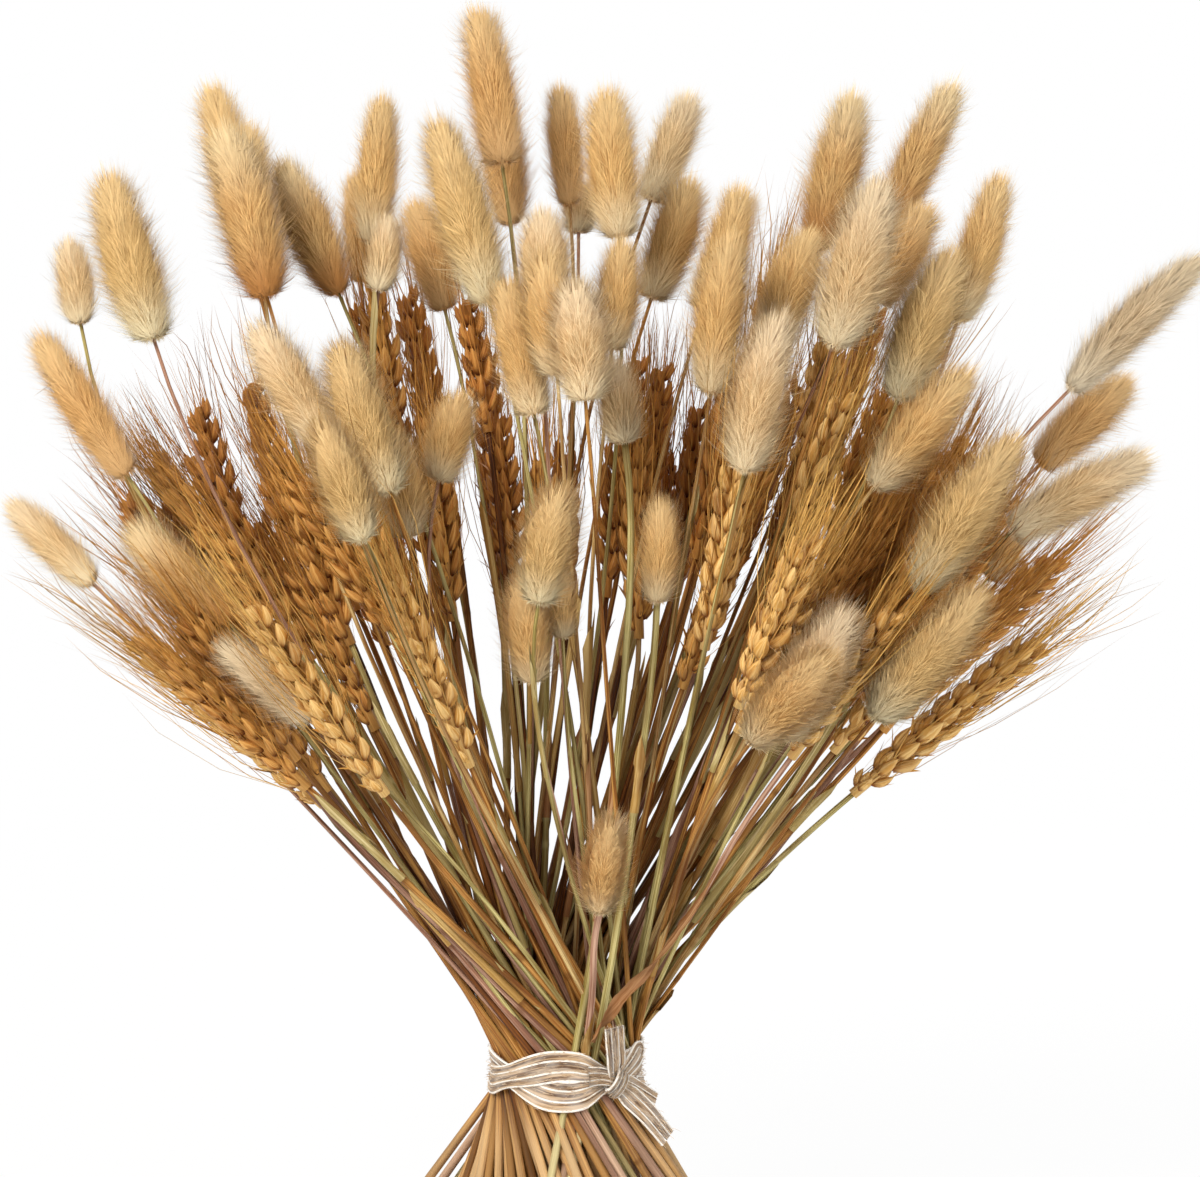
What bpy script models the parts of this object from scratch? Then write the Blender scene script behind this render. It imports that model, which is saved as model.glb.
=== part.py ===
"""A standing bunch of dried grasses, bunny tails and bearded wheat, drawn in at the waist by one ribbon.

Run it in Blender 4.5, from its text editor or with: blender --background --python part.py
A stalk grew as one piece with its head, so each is one object, and the ribbon is the only other piece.
The scene is in metres, +Z up, and the front faces -Y. The tables and sizes below are in millimetres.
"""

import math
from typing import NamedTuple

import bmesh
import bpy
import numpy as np

MM = 0.001

# The bunch
TIE_HEIGHT = 70.0  # from the cut ends up to the middle of the ribbon
TIE_ACROSS = -12.0  # the ribbon sits a little left of the middle of the fan,
TIE_BACK = 12.0  # and a little behind it
WAIST_RADIUS = 26.0  # inside the ribbon
FAN_RATIO = 2.2  # the fan is this many times wider than it is deep
BOW = 0.3  # share of a stalk's length that bends towards the way its head points
FOOT_SPREAD = 0.66  # how far a stalk slants below the ribbon, as a share of its slant above it
INNER_SHARE = 0.35  # how far out an upright stalk starts in the waist, and
LEAN_SHARE = 1.3  # how fast that grows with the stalk's slant
# Stalks that pass the ribbon at its front, against the turn of the others: where, by number from 0
FRONT_STALKS = {29: (4.6, -24.5), 27: (7.4, -24.0)}
FRONT_SLANT = (0.2, 0.16)  # how far they slant below it, across and in depth, for each unit of height

# Settling
GAP = 0.45  # kept between two stalks, and between a stalk and the ribbon
LEVEL_STEP = 6.0  # height between the levels at which stalks are compared
ROUNDS = 400
LOOSE_SHARE = 0.75  # of the rounds, in which stalks still spring outwards and heads pull back
SPRING_OUT = 0.06  # a round, at the waist
HEAD_PULL = (0.05, 0.01)  # share a round, across and in depth
PUSH = 1.2  # each clearance is over-corrected a little, which settles sooner
TOUCHING = 0.3  # two lines closer than this are pushed as if they were this far apart

# The ribbon
BAND_HEIGHT = 24.0  # its two wraps together
BAND_LEVELS = 5
BAND_STEPS = 56  # round the band
RIBBON_WIDTH = 11.0
RIBBON_THICK = 1.0
KNOT_BEARING = -56.0  # degrees round the tie, from the right towards the front
KNOT_SIZE = (4.0, 6.0, 6.5)  # half sizes: out from the bunch, along the ribbon and up
# The ends that leave the knot, by steps along the ribbon (to the right), out from the bunch and up
RIBBON_ENDS = (
    ((0, 1, 0), (5, 3, -6), (12, 5, -14), (19, 6, -22)),
    ((0, 0, 0), (6, 1, -3), (11, 2, -6), (16, 3, -9)),
    ((0, 1, 0), (-2, 4, 7), (-5, 7, 14), (-7, 8, 21)),
    ((0, 0, 0), (3, 3, 4), (6, 5, 8), (9, 6, 12)),
)

STALK_BEVEL = 1  # bevel resolution of a stalk, which gives six sides
STEM_POINTS = 5
BELOW_CUT = 4.0  # a stem is made this much too long, and cut off level with the floor
WELD = 1e-6  # metres


class Kind(NamedTuple):
    """What the stalks of one grass share."""

    name: str
    foot_radius: float
    neck_radius: float
    outline: tuple  # of the head: share of its length, then share of half its girth
    colour: tuple
    roughness: float


class Stalk(NamedTuple):
    """One stem with its head. Lengths in mm, the lean in degrees from upright and positive to the right."""

    across: float  # where the head starts, right of the middle of the bunch,
    up: float  # above the cut ends,
    ahead: float  # and in front of the ribbon's axis
    lean: float  # of the head
    length: float  # of the head, with the awns on an ear of wheat
    girth: float  # of the head at its widest


BUNNY_TAIL = Kind(
    "bunny_tail",
    1.15,
    0.65,
    ((0.0, 0.12), (0.06, 0.6), (0.22, 0.95), (0.5, 1.0), (0.78, 0.75), (0.93, 0.38), (1.0, 0.1)),
    (0.72, 0.51, 0.27),
    0.9,
)
WHEAT_EAR = Kind(
    "wheat_ear",
    1.75,
    1.0,
    ((0.0, 0.2), (0.1, 0.8), (0.3, 1.0), (0.5, 0.7), (0.65, 0.3), (1.0, 0.1)),
    (0.5, 0.26, 0.09),
    0.6,
)

# Oval furry heads, from the left of the fan to the right
BUNNY_TAILS = (
    Stalk(-186, 337, -10, -8, 31, 15),
    Stalk(-155, 332, 15, -15, 59, 23),
    Stalk(-116, 347, 30, -14, 60, 24),
    Stalk(-93, 348, 0, -24, 51, 21),
    Stalk(-83, 366, -40, 4, 53, 16),
    Stalk(-39, 345, 15, -16, 65, 22),
    Stalk(-35, 394, -10, -9, 55, 20),
    Stalk(-11, 380, -35, -5, 43, 14),
    Stalk(7, 368, -10, -5, 52, 22),
    Stalk(18, 382, -60, 21, 42, 17),
    Stalk(-4, 312, 55, -5, 42, 22),
    Stalk(-23, 306, 25, -12, 48, 19),
    Stalk(18, 346, -35, 18, 46, 20),
    Stalk(38, 313, 20, 8, 56, 21),
    Stalk(50, 288, 60, 12, 55, 22),
    Stalk(78, 364, -30, 14, 57, 21),
    Stalk(80, 330, 35, 15, 59, 25),
    Stalk(104, 373, -20, 25, 54, 18),
    Stalk(129, 338, -25, 17, 54, 18),
    Stalk(105, 311, 20, 20, 55, 23),
    Stalk(162, 314, 5, 45, 64, 17),
    Stalk(98, 281, 40, 38, 52, 20),
    Stalk(159, 285, -30, 47, 46, 20),
    Stalk(142, 264, 25, 61, 54, 19),
    Stalk(110, 246, 45, 31, 62, 22),
    Stalk(98, 202, 50, 38, 59, 22),
    Stalk(50, 196, 80, 39, 45, 22),
    Stalk(20, 240, 25, 2, 37, 14),
    Stalk(-21, 243, 60, 11, 43, 20),
    Stalk(0, 134, 45, 7, 42, 15),
    Stalk(-168, 284, 5, -32, 57, 17),
    Stalk(-184, 243, -15, -46, 42, 16),
    Stalk(-131, 233, 30, -44, 48, 21),
    Stalk(-101, 202, 50, -49, 42, 17),
    Stalk(-71, 280, 55, -18, 55, 22),
    Stalk(-80, 266, 85, -18, 46, 19),
)

# Ears of wheat with their awns, again from the left
WHEAT_EARS = (
    Stalk(-100, 167, 10, -48, 142, 14),
    Stalk(-107, 192, -20, -46, 125, 13),
    Stalk(-75, 176, 60, -33, 140, 14),
    Stalk(-46, 185, 50, -21, 120, 13),
    Stalk(-132, 231, -35, -30, 100, 13),
    Stalk(-114, 253, -60, -15, 105, 13),
    Stalk(-89, 224, 5, -21, 110, 14),
    Stalk(-57, 285, -45, -13, 100, 13),
    Stalk(-52, 231, -15, -7, 120, 14),
    Stalk(-36, 253, -55, -5, 115, 13),
    Stalk(14, 224, -20, -1, 120, 13),
    Stalk(28, 236, -50, 8, 115, 13),
    Stalk(36, 224, 25, 10, 115, 14),
    Stalk(61, 242, 15, 21, 115, 14),
    Stalk(50, 206, 50, 21, 105, 14),
    Stalk(52, 281, -55, 10, 120, 13),
    Stalk(89, 224, 0, 27, 110, 14),
    Stalk(86, 288, -65, 18, 95, 13),
    Stalk(93, 267, -35, 25, 100, 13),
    Stalk(118, 217, -20, 30, 100, 13),
    Stalk(93, 171, 10, 50, 135, 14),
    Stalk(115, 200, -30, 47, 115, 14),
    Stalk(105, 235, -55, 44, 105, 13),
)


def unit(rows: np.ndarray) -> np.ndarray:
    """Each row at length 1."""
    return rows / np.maximum(np.linalg.norm(rows, axis=-1, keepdims=True), 1e-6)


class Bunch:
    """Every stalk's line, from its cut end through the ribbon to the tip of its head.

    Across and in depth, places are measured from the ribbon's axis. A stalk's place at any height is
    fixed by two points, where it passes the ribbon (waist) and where its head starts (neck), so settling
    moves only those.
    """

    def __init__(self, stalks: list[tuple[Kind, Stalk]]):
        self.stalks = stalks
        rows = np.array([stalk for _, stalk in stalks], float)
        across, self.up, ahead, lean, self.length, self.girth = rows.T
        self.foot_radius = np.array([kind.foot_radius for kind, _ in stalks])
        self.neck_radius = np.array([kind.neck_radius for kind, _ in stalks])
        self.wanted = np.stack([across - TIE_ACROSS, -ahead], axis=1)
        rise = self.up - TIE_HEIGHT
        toward = -ahead / rise
        self.aim = unit(np.stack([np.tan(np.radians(lean)), toward, np.ones(len(rise))], axis=1))
        self.top = self.up + self.length * self.aim[:, 2]
        self.neck = self.wanted.copy()
        self.waist = self.first_waist(rise)
        reach = np.hypot(np.linalg.norm(self.neck - self.waist, axis=1), rise)
        self.bow = BOW * reach
        self.bend_height = self.up - self.bow * self.aim[:, 2]
        self.set_levels()

    def first_waist(self, rise: np.ndarray) -> np.ndarray:
        """A spiral: seen from above, each stalk passes the tie a quarter turn round from its head."""
        slant = self.wanted / rise[:, None] * (1.0, FAN_RATIO)
        share = np.linalg.norm(slant, axis=1)
        share = np.clip(INNER_SHARE + LEAN_SHARE * share / share.max(), 0.0, 1.0)
        self.waist_reach = WAIST_RADIUS - GAP - self.stem_radius(TIE_HEIGHT)
        turned = np.stack([-slant[:, 1], slant[:, 0]], axis=1)
        waist = unit(turned) * (self.waist_reach * share)[:, None]
        for index, place in FRONT_STALKS.items():
            waist[index] = place
        return waist

    def stem_radius(self, height: float) -> np.ndarray:
        """Every stem's radius at this height."""
        return self.foot_radius + (self.neck_radius - self.foot_radius) * height / self.up

    def head_radius(self, index: int, share: float) -> float:
        """One head's radius at this share of its length."""
        kind = self.stalks[index][0]
        shares, sizes = zip(*kind.outline)
        return float(np.interp(share, shares, sizes)) * self.girth[index] / 2

    def set_levels(self):
        """Works out, for each stalk at each level, how its place follows from its waist and its neck."""
        self.levels = np.arange(0.0, self.top.max() + LEVEL_STEP, LEVEL_STEP)
        size = (len(self.stalks), len(self.levels))
        self.by_waist, self.by_neck = np.zeros(size), np.zeros(size)
        self.offset, self.radius = np.zeros((*size, 2)), np.full(size, np.nan)
        for i in range(len(self.stalks)):
            for k, height in enumerate(self.levels):
                self.set_level(i, k, height)

    def set_level(self, i: int, k: int, height: float):
        """Works out one stalk at one level. Its radius stays NaN above its tip."""
        if height > self.top[i] + LEVEL_STEP:
            return
        if height > self.up[i]:
            self.by_neck[i, k] = 1.0
            self.offset[i, k] = (height - self.up[i]) * self.aim[i, :2] / self.aim[i, 2]
            share = (height - self.up[i]) / (self.top[i] - self.up[i])
            self.radius[i, k] = self.head_radius(i, share)
            return
        below = np.zeros(2)
        if height > TIE_HEIGHT:
            drop = self.up[i] + TIE_HEIGHT - 2 * self.bend_height[i]
            climb = self.bend_height[i] - TIE_HEIGHT
            along = (math.sqrt(climb**2 + drop * (height - TIE_HEIGHT)) - climb) / drop
            bent = along * along + 2 * along * (1 - along)
            pull = 2 * along * (1 - along)
        elif i in FRONT_STALKS:
            bent, pull = 0.0, 0.0
            below = (height - TIE_HEIGHT) * np.array(FRONT_SLANT)
        else:
            bent = FOOT_SPREAD * (height - TIE_HEIGHT) / (self.bend_height[i] - TIE_HEIGHT)
            pull = bent
        self.by_waist[i, k], self.by_neck[i, k] = 1 - bent, bent
        self.offset[i, k] = below - pull * self.bow[i] * self.aim[i, :2]
        self.radius[i, k] = self.stem_radius(height)[i]

    def places(self) -> np.ndarray:
        """Each stalk's place at each level, from the ribbon's axis."""
        by_waist = self.by_waist[..., None] * self.waist[:, None]
        return by_waist + self.by_neck[..., None] * self.neck[:, None] + self.offset

    def settle(self):
        """Pushes the stalks clear of each other while, at first, they spring out against the ribbon."""
        first, second = np.triu_indices(len(self.stalks), 1)
        thick = np.maximum(self.radius[:, :-1], self.radius[:, 1:])
        needed = np.nan_to_num(thick[first] + thick[second] + GAP, nan=-1e3)
        for turn in range(ROUNDS):
            self.push_apart(first, second, needed)
            if turn < LOOSE_SHARE * ROUNDS:
                self.neck += (self.wanted - self.neck) * HEAD_PULL
                self.waist += SPRING_OUT * unit(self.waist)
            out = np.linalg.norm(self.waist, axis=1)
            self.waist *= np.minimum(1.0, self.waist_reach / np.maximum(out, 1e-6))[:, None]

    def push_apart(self, first: np.ndarray, second: np.ndarray, needed: np.ndarray):
        """Moves each pair that is too close by half of what it lacks, at the height where it is closest."""
        places = self.places()
        slant = np.diff(places, axis=1) / LEVEL_STEP
        low = places[first, :-1] - places[second, :-1]
        change = places[first, 1:] - places[second, 1:] - low
        share = -(low * change).sum(-1) / np.maximum((change * change).sum(-1), 1e-9)
        share = np.clip(share, 0.0, 1.0)
        apart = low + share[..., None] * change
        flat = np.maximum(np.linalg.norm(apart, axis=-1), 1e-6)
        mean = (slant[first] + slant[second]) / 2
        along = (apart * mean).sum(-1) ** 2 / (1 + (mean * mean).sum(-1))
        true = np.sqrt(np.maximum(flat**2 - along, TOUCHING**2))
        pair, level = np.nonzero(needed > true)
        lack, true, flat = needed[pair, level] - true[pair, level], true[pair, level], flat[pair, level]
        move = apart[pair, level] * (lack / true / 2)[:, None]
        share = share[pair, level]
        shift = {"waist": np.zeros_like(self.waist), "neck": np.zeros_like(self.neck)}
        total = {"waist": np.zeros(len(self.stalks)), "neck": np.zeros(len(self.stalks))}
        for stalk, sign in ((first[pair], 1), (second[pair], -1)):
            waist = self.by_waist[stalk, level] * (1 - share) + self.by_waist[stalk, level + 1] * share
            neck = self.by_neck[stalk, level] * (1 - share) + self.by_neck[stalk, level + 1] * share
            for name, part in (("waist", waist), ("neck", neck)):
                part = part / (waist**2 + neck**2)
                np.add.at(shift[name], stalk, sign * move * part[:, None])
                np.add.at(total[name], stalk, np.abs(part))
        self.waist += PUSH * shift["waist"] / np.maximum(total["waist"], 1)[:, None]
        self.neck += PUSH * shift["neck"] / np.maximum(total["neck"], 1)[:, None]

    def line(self, index: int) -> list[tuple[np.ndarray, float]]:
        """One stalk's points with its radius at each, from below its cut end to the tip of its head."""
        kind = self.stalks[index][0]
        waist = np.array([*self.waist[index], TIE_HEIGHT])
        neck = np.array([*self.neck[index], self.up[index]])
        bend = neck - self.bow[index] * self.aim[index]
        down = (bend - waist) * (TIE_HEIGHT + BELOW_CUT) / (bend[2] - waist[2])
        down[:2] *= FOOT_SPREAD
        if index in FRONT_STALKS:
            down[:2] = down[2] * np.array(FRONT_SLANT)
        points = [(waist - down, kind.foot_radius)]
        for along in np.linspace(0.0, 1.0, STEM_POINTS, endpoint=False):
            point = (1 - along) ** 2 * waist + 2 * along * (1 - along) * bend + along**2 * neck
            points.append((point, self.stem_radius(point[2])[index]))
        points.append((neck - self.aim[index], kind.neck_radius))
        for share, _ in kind.outline:
            place = neck + share * self.length[index] * self.aim[index]
            points.append((place, max(self.head_radius(index, share), kind.neck_radius / 2)))
        return points

    def places_at(self, height: float) -> np.ndarray:
        """Each stem's place at this height, which is below the lowest head."""
        above = int(np.searchsorted(self.levels, height))
        share = (height - self.levels[above - 1]) / LEVEL_STEP
        places = self.places()
        return places[:, above - 1] * (1 - share) + places[:, above] * share

    def reach_at(self, height: float) -> float:
        """How far the outermost stem reaches from the ribbon's axis at this height."""
        places = self.places_at(height)
        slant = (self.places_at(height + LEVEL_STEP) - places) / LEVEL_STEP
        radius = self.stem_radius(height) * np.hypot(1.0, np.linalg.norm(slant, axis=1))
        return float((np.linalg.norm(places, axis=1) + radius).max())


def material(name: str, colour: tuple, roughness: float) -> bpy.types.Material:
    """A plain material."""
    made = bpy.data.materials.new(name)
    made.use_nodes = True
    shader = made.node_tree.nodes["Principled BSDF"]
    shader.inputs["Base Color"].default_value = (*colour, 1.0)
    shader.inputs["Roughness"].default_value = roughness
    made.diffuse_color = (*colour, 1.0)
    return made


def world(point: np.ndarray) -> tuple[float, float, float]:
    """A point in millimetres from the ribbon's axis, as metres in the bunch's frame."""
    return ((point[0] + TIE_ACROSS) * MM, (point[1] + TIE_BACK) * MM, point[2] * MM)


def mesh_from(curve_object: bpy.types.Object) -> bpy.types.Mesh:
    """A curve object's shape as a closed mesh. The curve object is removed."""
    graph = bpy.context.evaluated_depsgraph_get()
    mesh = bpy.data.meshes.new_from_object(curve_object.evaluated_get(graph))
    mesh.transform(curve_object.matrix_world)
    curve = curve_object.data
    bpy.data.objects.remove(curve_object)
    bpy.data.curves.remove(curve)
    shape = bmesh.new()
    shape.from_mesh(mesh)
    bmesh.ops.remove_doubles(shape, verts=shape.verts, dist=WELD)
    bmesh.ops.recalc_face_normals(shape, faces=shape.faces)
    shape.to_mesh(mesh)
    shape.free()
    return mesh


def tube(name: str, points: list, collection: bpy.types.Collection) -> bpy.types.Mesh:
    """A tube through points given with a radius each, in millimetres."""
    curve = bpy.data.curves.new(name, "CURVE")
    curve.dimensions = "3D"
    curve.bevel_depth = MM
    curve.bevel_resolution = STALK_BEVEL
    curve.use_fill_caps = True
    spline = curve.splines.new("POLY")
    spline.points.add(len(points) - 1)
    for made, (place, radius) in zip(spline.points, points):
        made.co = (*world(place), 1.0)
        made.radius = radius
    holder = bpy.data.objects.new(name, curve)
    collection.objects.link(holder)
    return mesh_from(holder)


def cut_level(mesh: bpy.types.Mesh):
    """Cuts a stalk off level with the floor and closes the cut."""
    shape = bmesh.new()
    shape.from_mesh(mesh)
    everything = [*shape.verts, *shape.edges, *shape.faces]
    cut = bmesh.ops.bisect_plane(
        shape, geom=everything, plane_co=(0, 0, 0), plane_no=(0, 0, 1), clear_inner=True
    )
    rim = [edge for edge in cut["geom_cut"] if isinstance(edge, bmesh.types.BMEdge)]
    bmesh.ops.edgeloop_fill(shape, edges=rim)
    bmesh.ops.recalc_face_normals(shape, faces=shape.faces)
    shape.to_mesh(mesh)
    shape.free()


def make_stalk(bunch: Bunch, index: int, name: str, collection: bpy.types.Collection):
    """One stem with its head, as one object."""
    kind = bunch.stalks[index][0]
    mesh = tube(name, bunch.line(index), collection)
    cut_level(mesh)
    mesh.shade_smooth()
    mesh.materials.clear()
    mesh.materials.append(material(name, kind.colour, kind.roughness))
    collection.objects.link(bpy.data.objects.new(name, mesh))


def band(bunch: Bunch, collection: bpy.types.Collection) -> bpy.types.Object:
    """The ribbon's two wraps, turned round the outermost stems with a Screw modifier."""
    heights = np.linspace(TIE_HEIGHT - BAND_HEIGHT / 2, TIE_HEIGHT + BAND_HEIGHT / 2, BAND_LEVELS)
    inner = [(bunch.reach_at(height) + GAP, height) for height in heights]
    outline = [*inner, *[(radius + RIBBON_THICK, height) for radius, height in reversed(inner)]]
    shape = bmesh.new()
    corners = [shape.verts.new((radius * MM, 0.0, height * MM)) for radius, height in outline]
    for start, end in zip(corners, [*corners[1:], corners[0]]):
        shape.edges.new((start, end))
    mesh = bpy.data.meshes.new("ribbon_tie")
    shape.to_mesh(mesh)
    shape.free()
    made = bpy.data.objects.new("ribbon_tie", mesh)
    made.location = world(np.zeros(3))
    collection.objects.link(made)
    turn = made.modifiers.new("turn", "SCREW")
    turn.steps = turn.render_steps = BAND_STEPS
    turn.use_merge_vertices = True
    turn.merge_threshold = WELD
    turn.use_normal_calculate = True
    return made


def strip(name: str, points: np.ndarray, face: np.ndarray, collection: bpy.types.Collection):
    """A flat length of ribbon along these points, its broad side square to face."""
    shape = bmesh.new()
    bmesh.ops.create_grid(shape, x_segments=len(points) - 1, y_segments=1, size=0.5)
    shares = np.linspace(-0.5, 0.5, len(points))
    across = unit(np.cross(np.gradient(points, axis=0), face))
    for vert in shape.verts:
        middle = [np.interp(vert.co.x, shares, points[:, axis]) for axis in range(3)]
        aside = [np.interp(vert.co.x, shares, across[:, axis]) for axis in range(3)]
        vert.co = world(np.array(middle) + np.array(aside) * vert.co.y * RIBBON_WIDTH)
    mesh = bpy.data.meshes.new(name)
    shape.to_mesh(mesh)
    shape.free()
    made = bpy.data.objects.new(name, mesh)
    collection.objects.link(made)
    thicken = made.modifiers.new("thicken", "SOLIDIFY")
    thicken.thickness = RIBBON_THICK * MM
    thicken.offset = 0.0
    return made


def knot(place: np.ndarray, bearing: float, collection: bpy.types.Collection) -> bpy.types.Object:
    """The knot as a lump."""
    shape = bmesh.new()
    bmesh.ops.create_uvsphere(shape, u_segments=16, v_segments=8, radius=MM)
    mesh = bpy.data.meshes.new("knot")
    shape.to_mesh(mesh)
    shape.free()
    made = bpy.data.objects.new("knot", mesh)
    made.location = world(place)
    made.scale = KNOT_SIZE
    made.rotation_euler.z = bearing
    collection.objects.link(made)
    return made


def make_ribbon(bunch: Bunch, collection: bpy.types.Collection, joined: bpy.types.Collection):
    """The ribbon as one body: its band, the knot at the front right and the ends that leave the knot."""
    made = band(bunch, collection)
    made.data.materials.append(material("ribbon_tie", (0.5, 0.38, 0.26), 0.95))
    bearing = math.radians(KNOT_BEARING)
    out = np.array([math.cos(bearing), math.sin(bearing), 0.0])
    aside = np.array([-math.sin(bearing), math.cos(bearing), 0.0])
    upward = np.array([0.0, 0.0, 1.0])
    place = out * (bunch.reach_at(TIE_HEIGHT) + GAP + KNOT_SIZE[0]) + TIE_HEIGHT * upward
    pieces = [knot(place, bearing, joined)]
    for number, steps in enumerate(RIBBON_ENDS, start=1):
        path = place + np.array(steps) @ np.stack([aside, out, upward])
        pieces.append(strip(f"ribbon_end_{number}", path, out, joined))
    for piece in pieces:
        join = made.modifiers.new(piece.name, "BOOLEAN")
        join.operation = "UNION"
        join.solver = "EXACT"
        join.object = piece
        piece.display_type = "WIRE"


def main():
    """Clears the scene and makes the bunch."""
    for item in list(bpy.data.objects):
        bpy.data.objects.remove(item, do_unlink=True)
    collection = bpy.data.collections.new("dried_grass_bunch")
    joined = bpy.data.collections.new("joined_to_ribbon")
    joined.hide_render = True
    for made in (collection, joined):
        bpy.context.scene.collection.children.link(made)
    stalks = [(BUNNY_TAIL, row) for row in BUNNY_TAILS] + [(WHEAT_EAR, row) for row in WHEAT_EARS]
    bunch = Bunch(stalks)
    bunch.settle()
    made = {BUNNY_TAIL.name: 0, WHEAT_EAR.name: 0}
    for index, (kind, _) in enumerate(stalks):
        made[kind.name] += 1
        make_stalk(bunch, index, f"{kind.name}_{made[kind.name]:02d}", collection)
    make_ribbon(bunch, collection, joined)


main()
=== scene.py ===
"""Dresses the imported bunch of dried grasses: bunny tails, bearded wheat and the jute ribbon at its waist.

The bunch stands on its cut ends. Its tables are in millimetres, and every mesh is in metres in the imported
model's frame: +Z up, the front towards -Y.
"""

import logging
import math
from dataclasses import dataclass, field
from enum import Enum
from typing import NamedTuple

import bpy
import numpy as np
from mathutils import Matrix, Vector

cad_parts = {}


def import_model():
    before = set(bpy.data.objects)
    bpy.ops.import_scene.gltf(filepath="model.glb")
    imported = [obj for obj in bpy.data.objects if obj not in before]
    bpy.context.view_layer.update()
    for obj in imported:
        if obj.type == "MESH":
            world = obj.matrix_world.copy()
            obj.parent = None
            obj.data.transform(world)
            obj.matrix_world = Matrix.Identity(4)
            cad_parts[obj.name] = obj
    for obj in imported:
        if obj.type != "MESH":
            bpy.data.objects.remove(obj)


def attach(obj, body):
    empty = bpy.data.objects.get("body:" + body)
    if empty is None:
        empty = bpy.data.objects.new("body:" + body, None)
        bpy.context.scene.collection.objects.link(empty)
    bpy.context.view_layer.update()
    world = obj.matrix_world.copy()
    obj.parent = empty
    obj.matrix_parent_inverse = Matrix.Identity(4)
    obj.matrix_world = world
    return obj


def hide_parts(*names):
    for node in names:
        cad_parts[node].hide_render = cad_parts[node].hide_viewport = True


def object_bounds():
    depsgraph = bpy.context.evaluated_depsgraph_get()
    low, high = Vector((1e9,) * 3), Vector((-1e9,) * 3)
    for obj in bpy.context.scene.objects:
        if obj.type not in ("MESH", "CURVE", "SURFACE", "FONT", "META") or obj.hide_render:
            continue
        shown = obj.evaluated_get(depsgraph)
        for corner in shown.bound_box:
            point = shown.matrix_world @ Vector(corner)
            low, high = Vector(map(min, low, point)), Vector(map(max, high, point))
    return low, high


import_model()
CAD_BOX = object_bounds()

LOG = logging.getLogger("dried_grass_bunch")
MM = 0.001
BODY = "root"

# The bunch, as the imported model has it
TIE_HEIGHT = 70.0  # from the cut ends up to the middle of the ribbon
TIE_ACROSS = -12.0  # the ribbon's axis, to the right of the bunch's middle
TIE_BACK = 12.0  # the ribbon's axis, behind the bunch's middle
WAIST_RADIUS = 26.0  # of all the stems together
FAN_RATIO = 2.2  # how much more a lean in depth counts than a lean to the side
BOW = 0.3  # share of a stalk's length that bends towards the way its head points
FOOT_SPREAD = 0.66  # share of a stem's slant above the ribbon that it keeps below
INNER_SHARE = 0.35  # how far out an upright stalk passes the ribbon, as a share of the waist's radius
LEAN_SHARE = 1.3  # how much further out the one that leans most passes it
# Stalks that pass the ribbon at its front, against the turn of the others: where, by number from 0
FRONT_STALKS = {29: (4.6, -24.5), 27: (7.4, -24.0), 69: (1.9, -24.6)}
FRONT_SLANT = (0.2, 0.16)  # how far they slant below it, across and in depth, for each unit of height
FRONT_STOUT = (1.3, 1.95)  # how stout their stems are, at the cut end and at the head

# Settling
GAP = 0.45  # kept between two stalks, mm
LEVEL_STEP = 6.0  # between the heights at which stalks are compared, mm
ROUNDS = 400
MORE_ROUNDS = 100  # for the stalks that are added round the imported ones
LOOSE_SHARE = 0.75  # of the rounds, in which the stalks spring out too
SPRING_OUT = 0.06  # in one round, at the ribbon, mm
HEAD_PULL = (0.05, 0.01)  # share of the way back to its own place that a head goes in one round
PUSH = 1.2  # how much of what it lacks a pair is moved by
TOUCHING = 0.3  # the least distance that two stalks count as having, mm

TINY = 1e-6  # under which a length counts as none
REACH_PAST = 0.005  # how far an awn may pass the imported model's box, in metres
LEAST_AWN = 0.15  # share of an awn that is kept even where it passes that
GOLDEN = 0.618  # of a turn, by which each stem strays further round than the last
STRAND_STEPS = (0.0, 0.35, 0.7, 1.0)  # where an awn or a scale may bend, as shares of its length
WHITE = (1.0, 1.0, 1.0, 1.0)
NOWHERE_ALONG = (0.31, -0.95, 0.1)  # a direction in which no stem points
GRAIN_LENGTH = 12.0  # of stem to one step of its grain
GRAIN_APART = 60.0  # so that no two stems share a grain
DRY_SHINE = 0.2  # the shader's specular level on straw, husks and awns
DRAWN_OUT = (1.0, 1.0, 0.12)  # how much less the grain changes lengthwise than across


class FurTone(Enum):
    """The shades in which bunny tails dry."""

    CREAM = "cream"
    GOLD = "gold"
    AMBER = "amber"
    RUSSET_FOOT = "russet_foot"
    GREEN_FOOT = "green_foot"
    GREY = "grey"


class WheatTone(Enum):
    """The shades of the ears of wheat, darker further back in the fan: partly their own colour and partly
    painted shade.
    """

    GOLD = "gold"
    AMBER = "amber"
    BROWN = "brown"


class StrawTone(Enum):
    """The shades of the stems."""

    STRAW = "straw"
    OLIVE = "olive"
    TAN = "tan"
    ROSE = "rose"
    UMBER_AND_SHADE = "umber"


class Kind(NamedTuple):
    """What the stalks of one grass share."""

    name: str
    foot_radius: float
    neck_radius: float
    outline: tuple  # of the head: share of its length, then share of half its girth


class Stalk(NamedTuple):
    """One stem with its head. Lengths in mm, the lean in degrees from upright and positive to the right."""

    across: float
    up: float
    ahead: float
    lean: float
    length: float
    girth: float
    tone: Enum


BUNNY_TAIL = Kind(
    "bunny_tail",
    1.15,
    0.65,
    ((0.0, 0.12), (0.06, 0.6), (0.22, 0.95), (0.5, 1.0), (0.78, 0.75), (0.93, 0.38), (1.0, 0.1)),
)
WHEAT_EAR = Kind(
    "wheat_ear",
    1.75,
    1.0,
    ((0.0, 0.2), (0.1, 0.8), (0.3, 1.0), (0.5, 0.7), (0.65, 0.3), (1.0, 0.1)),
)

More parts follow.
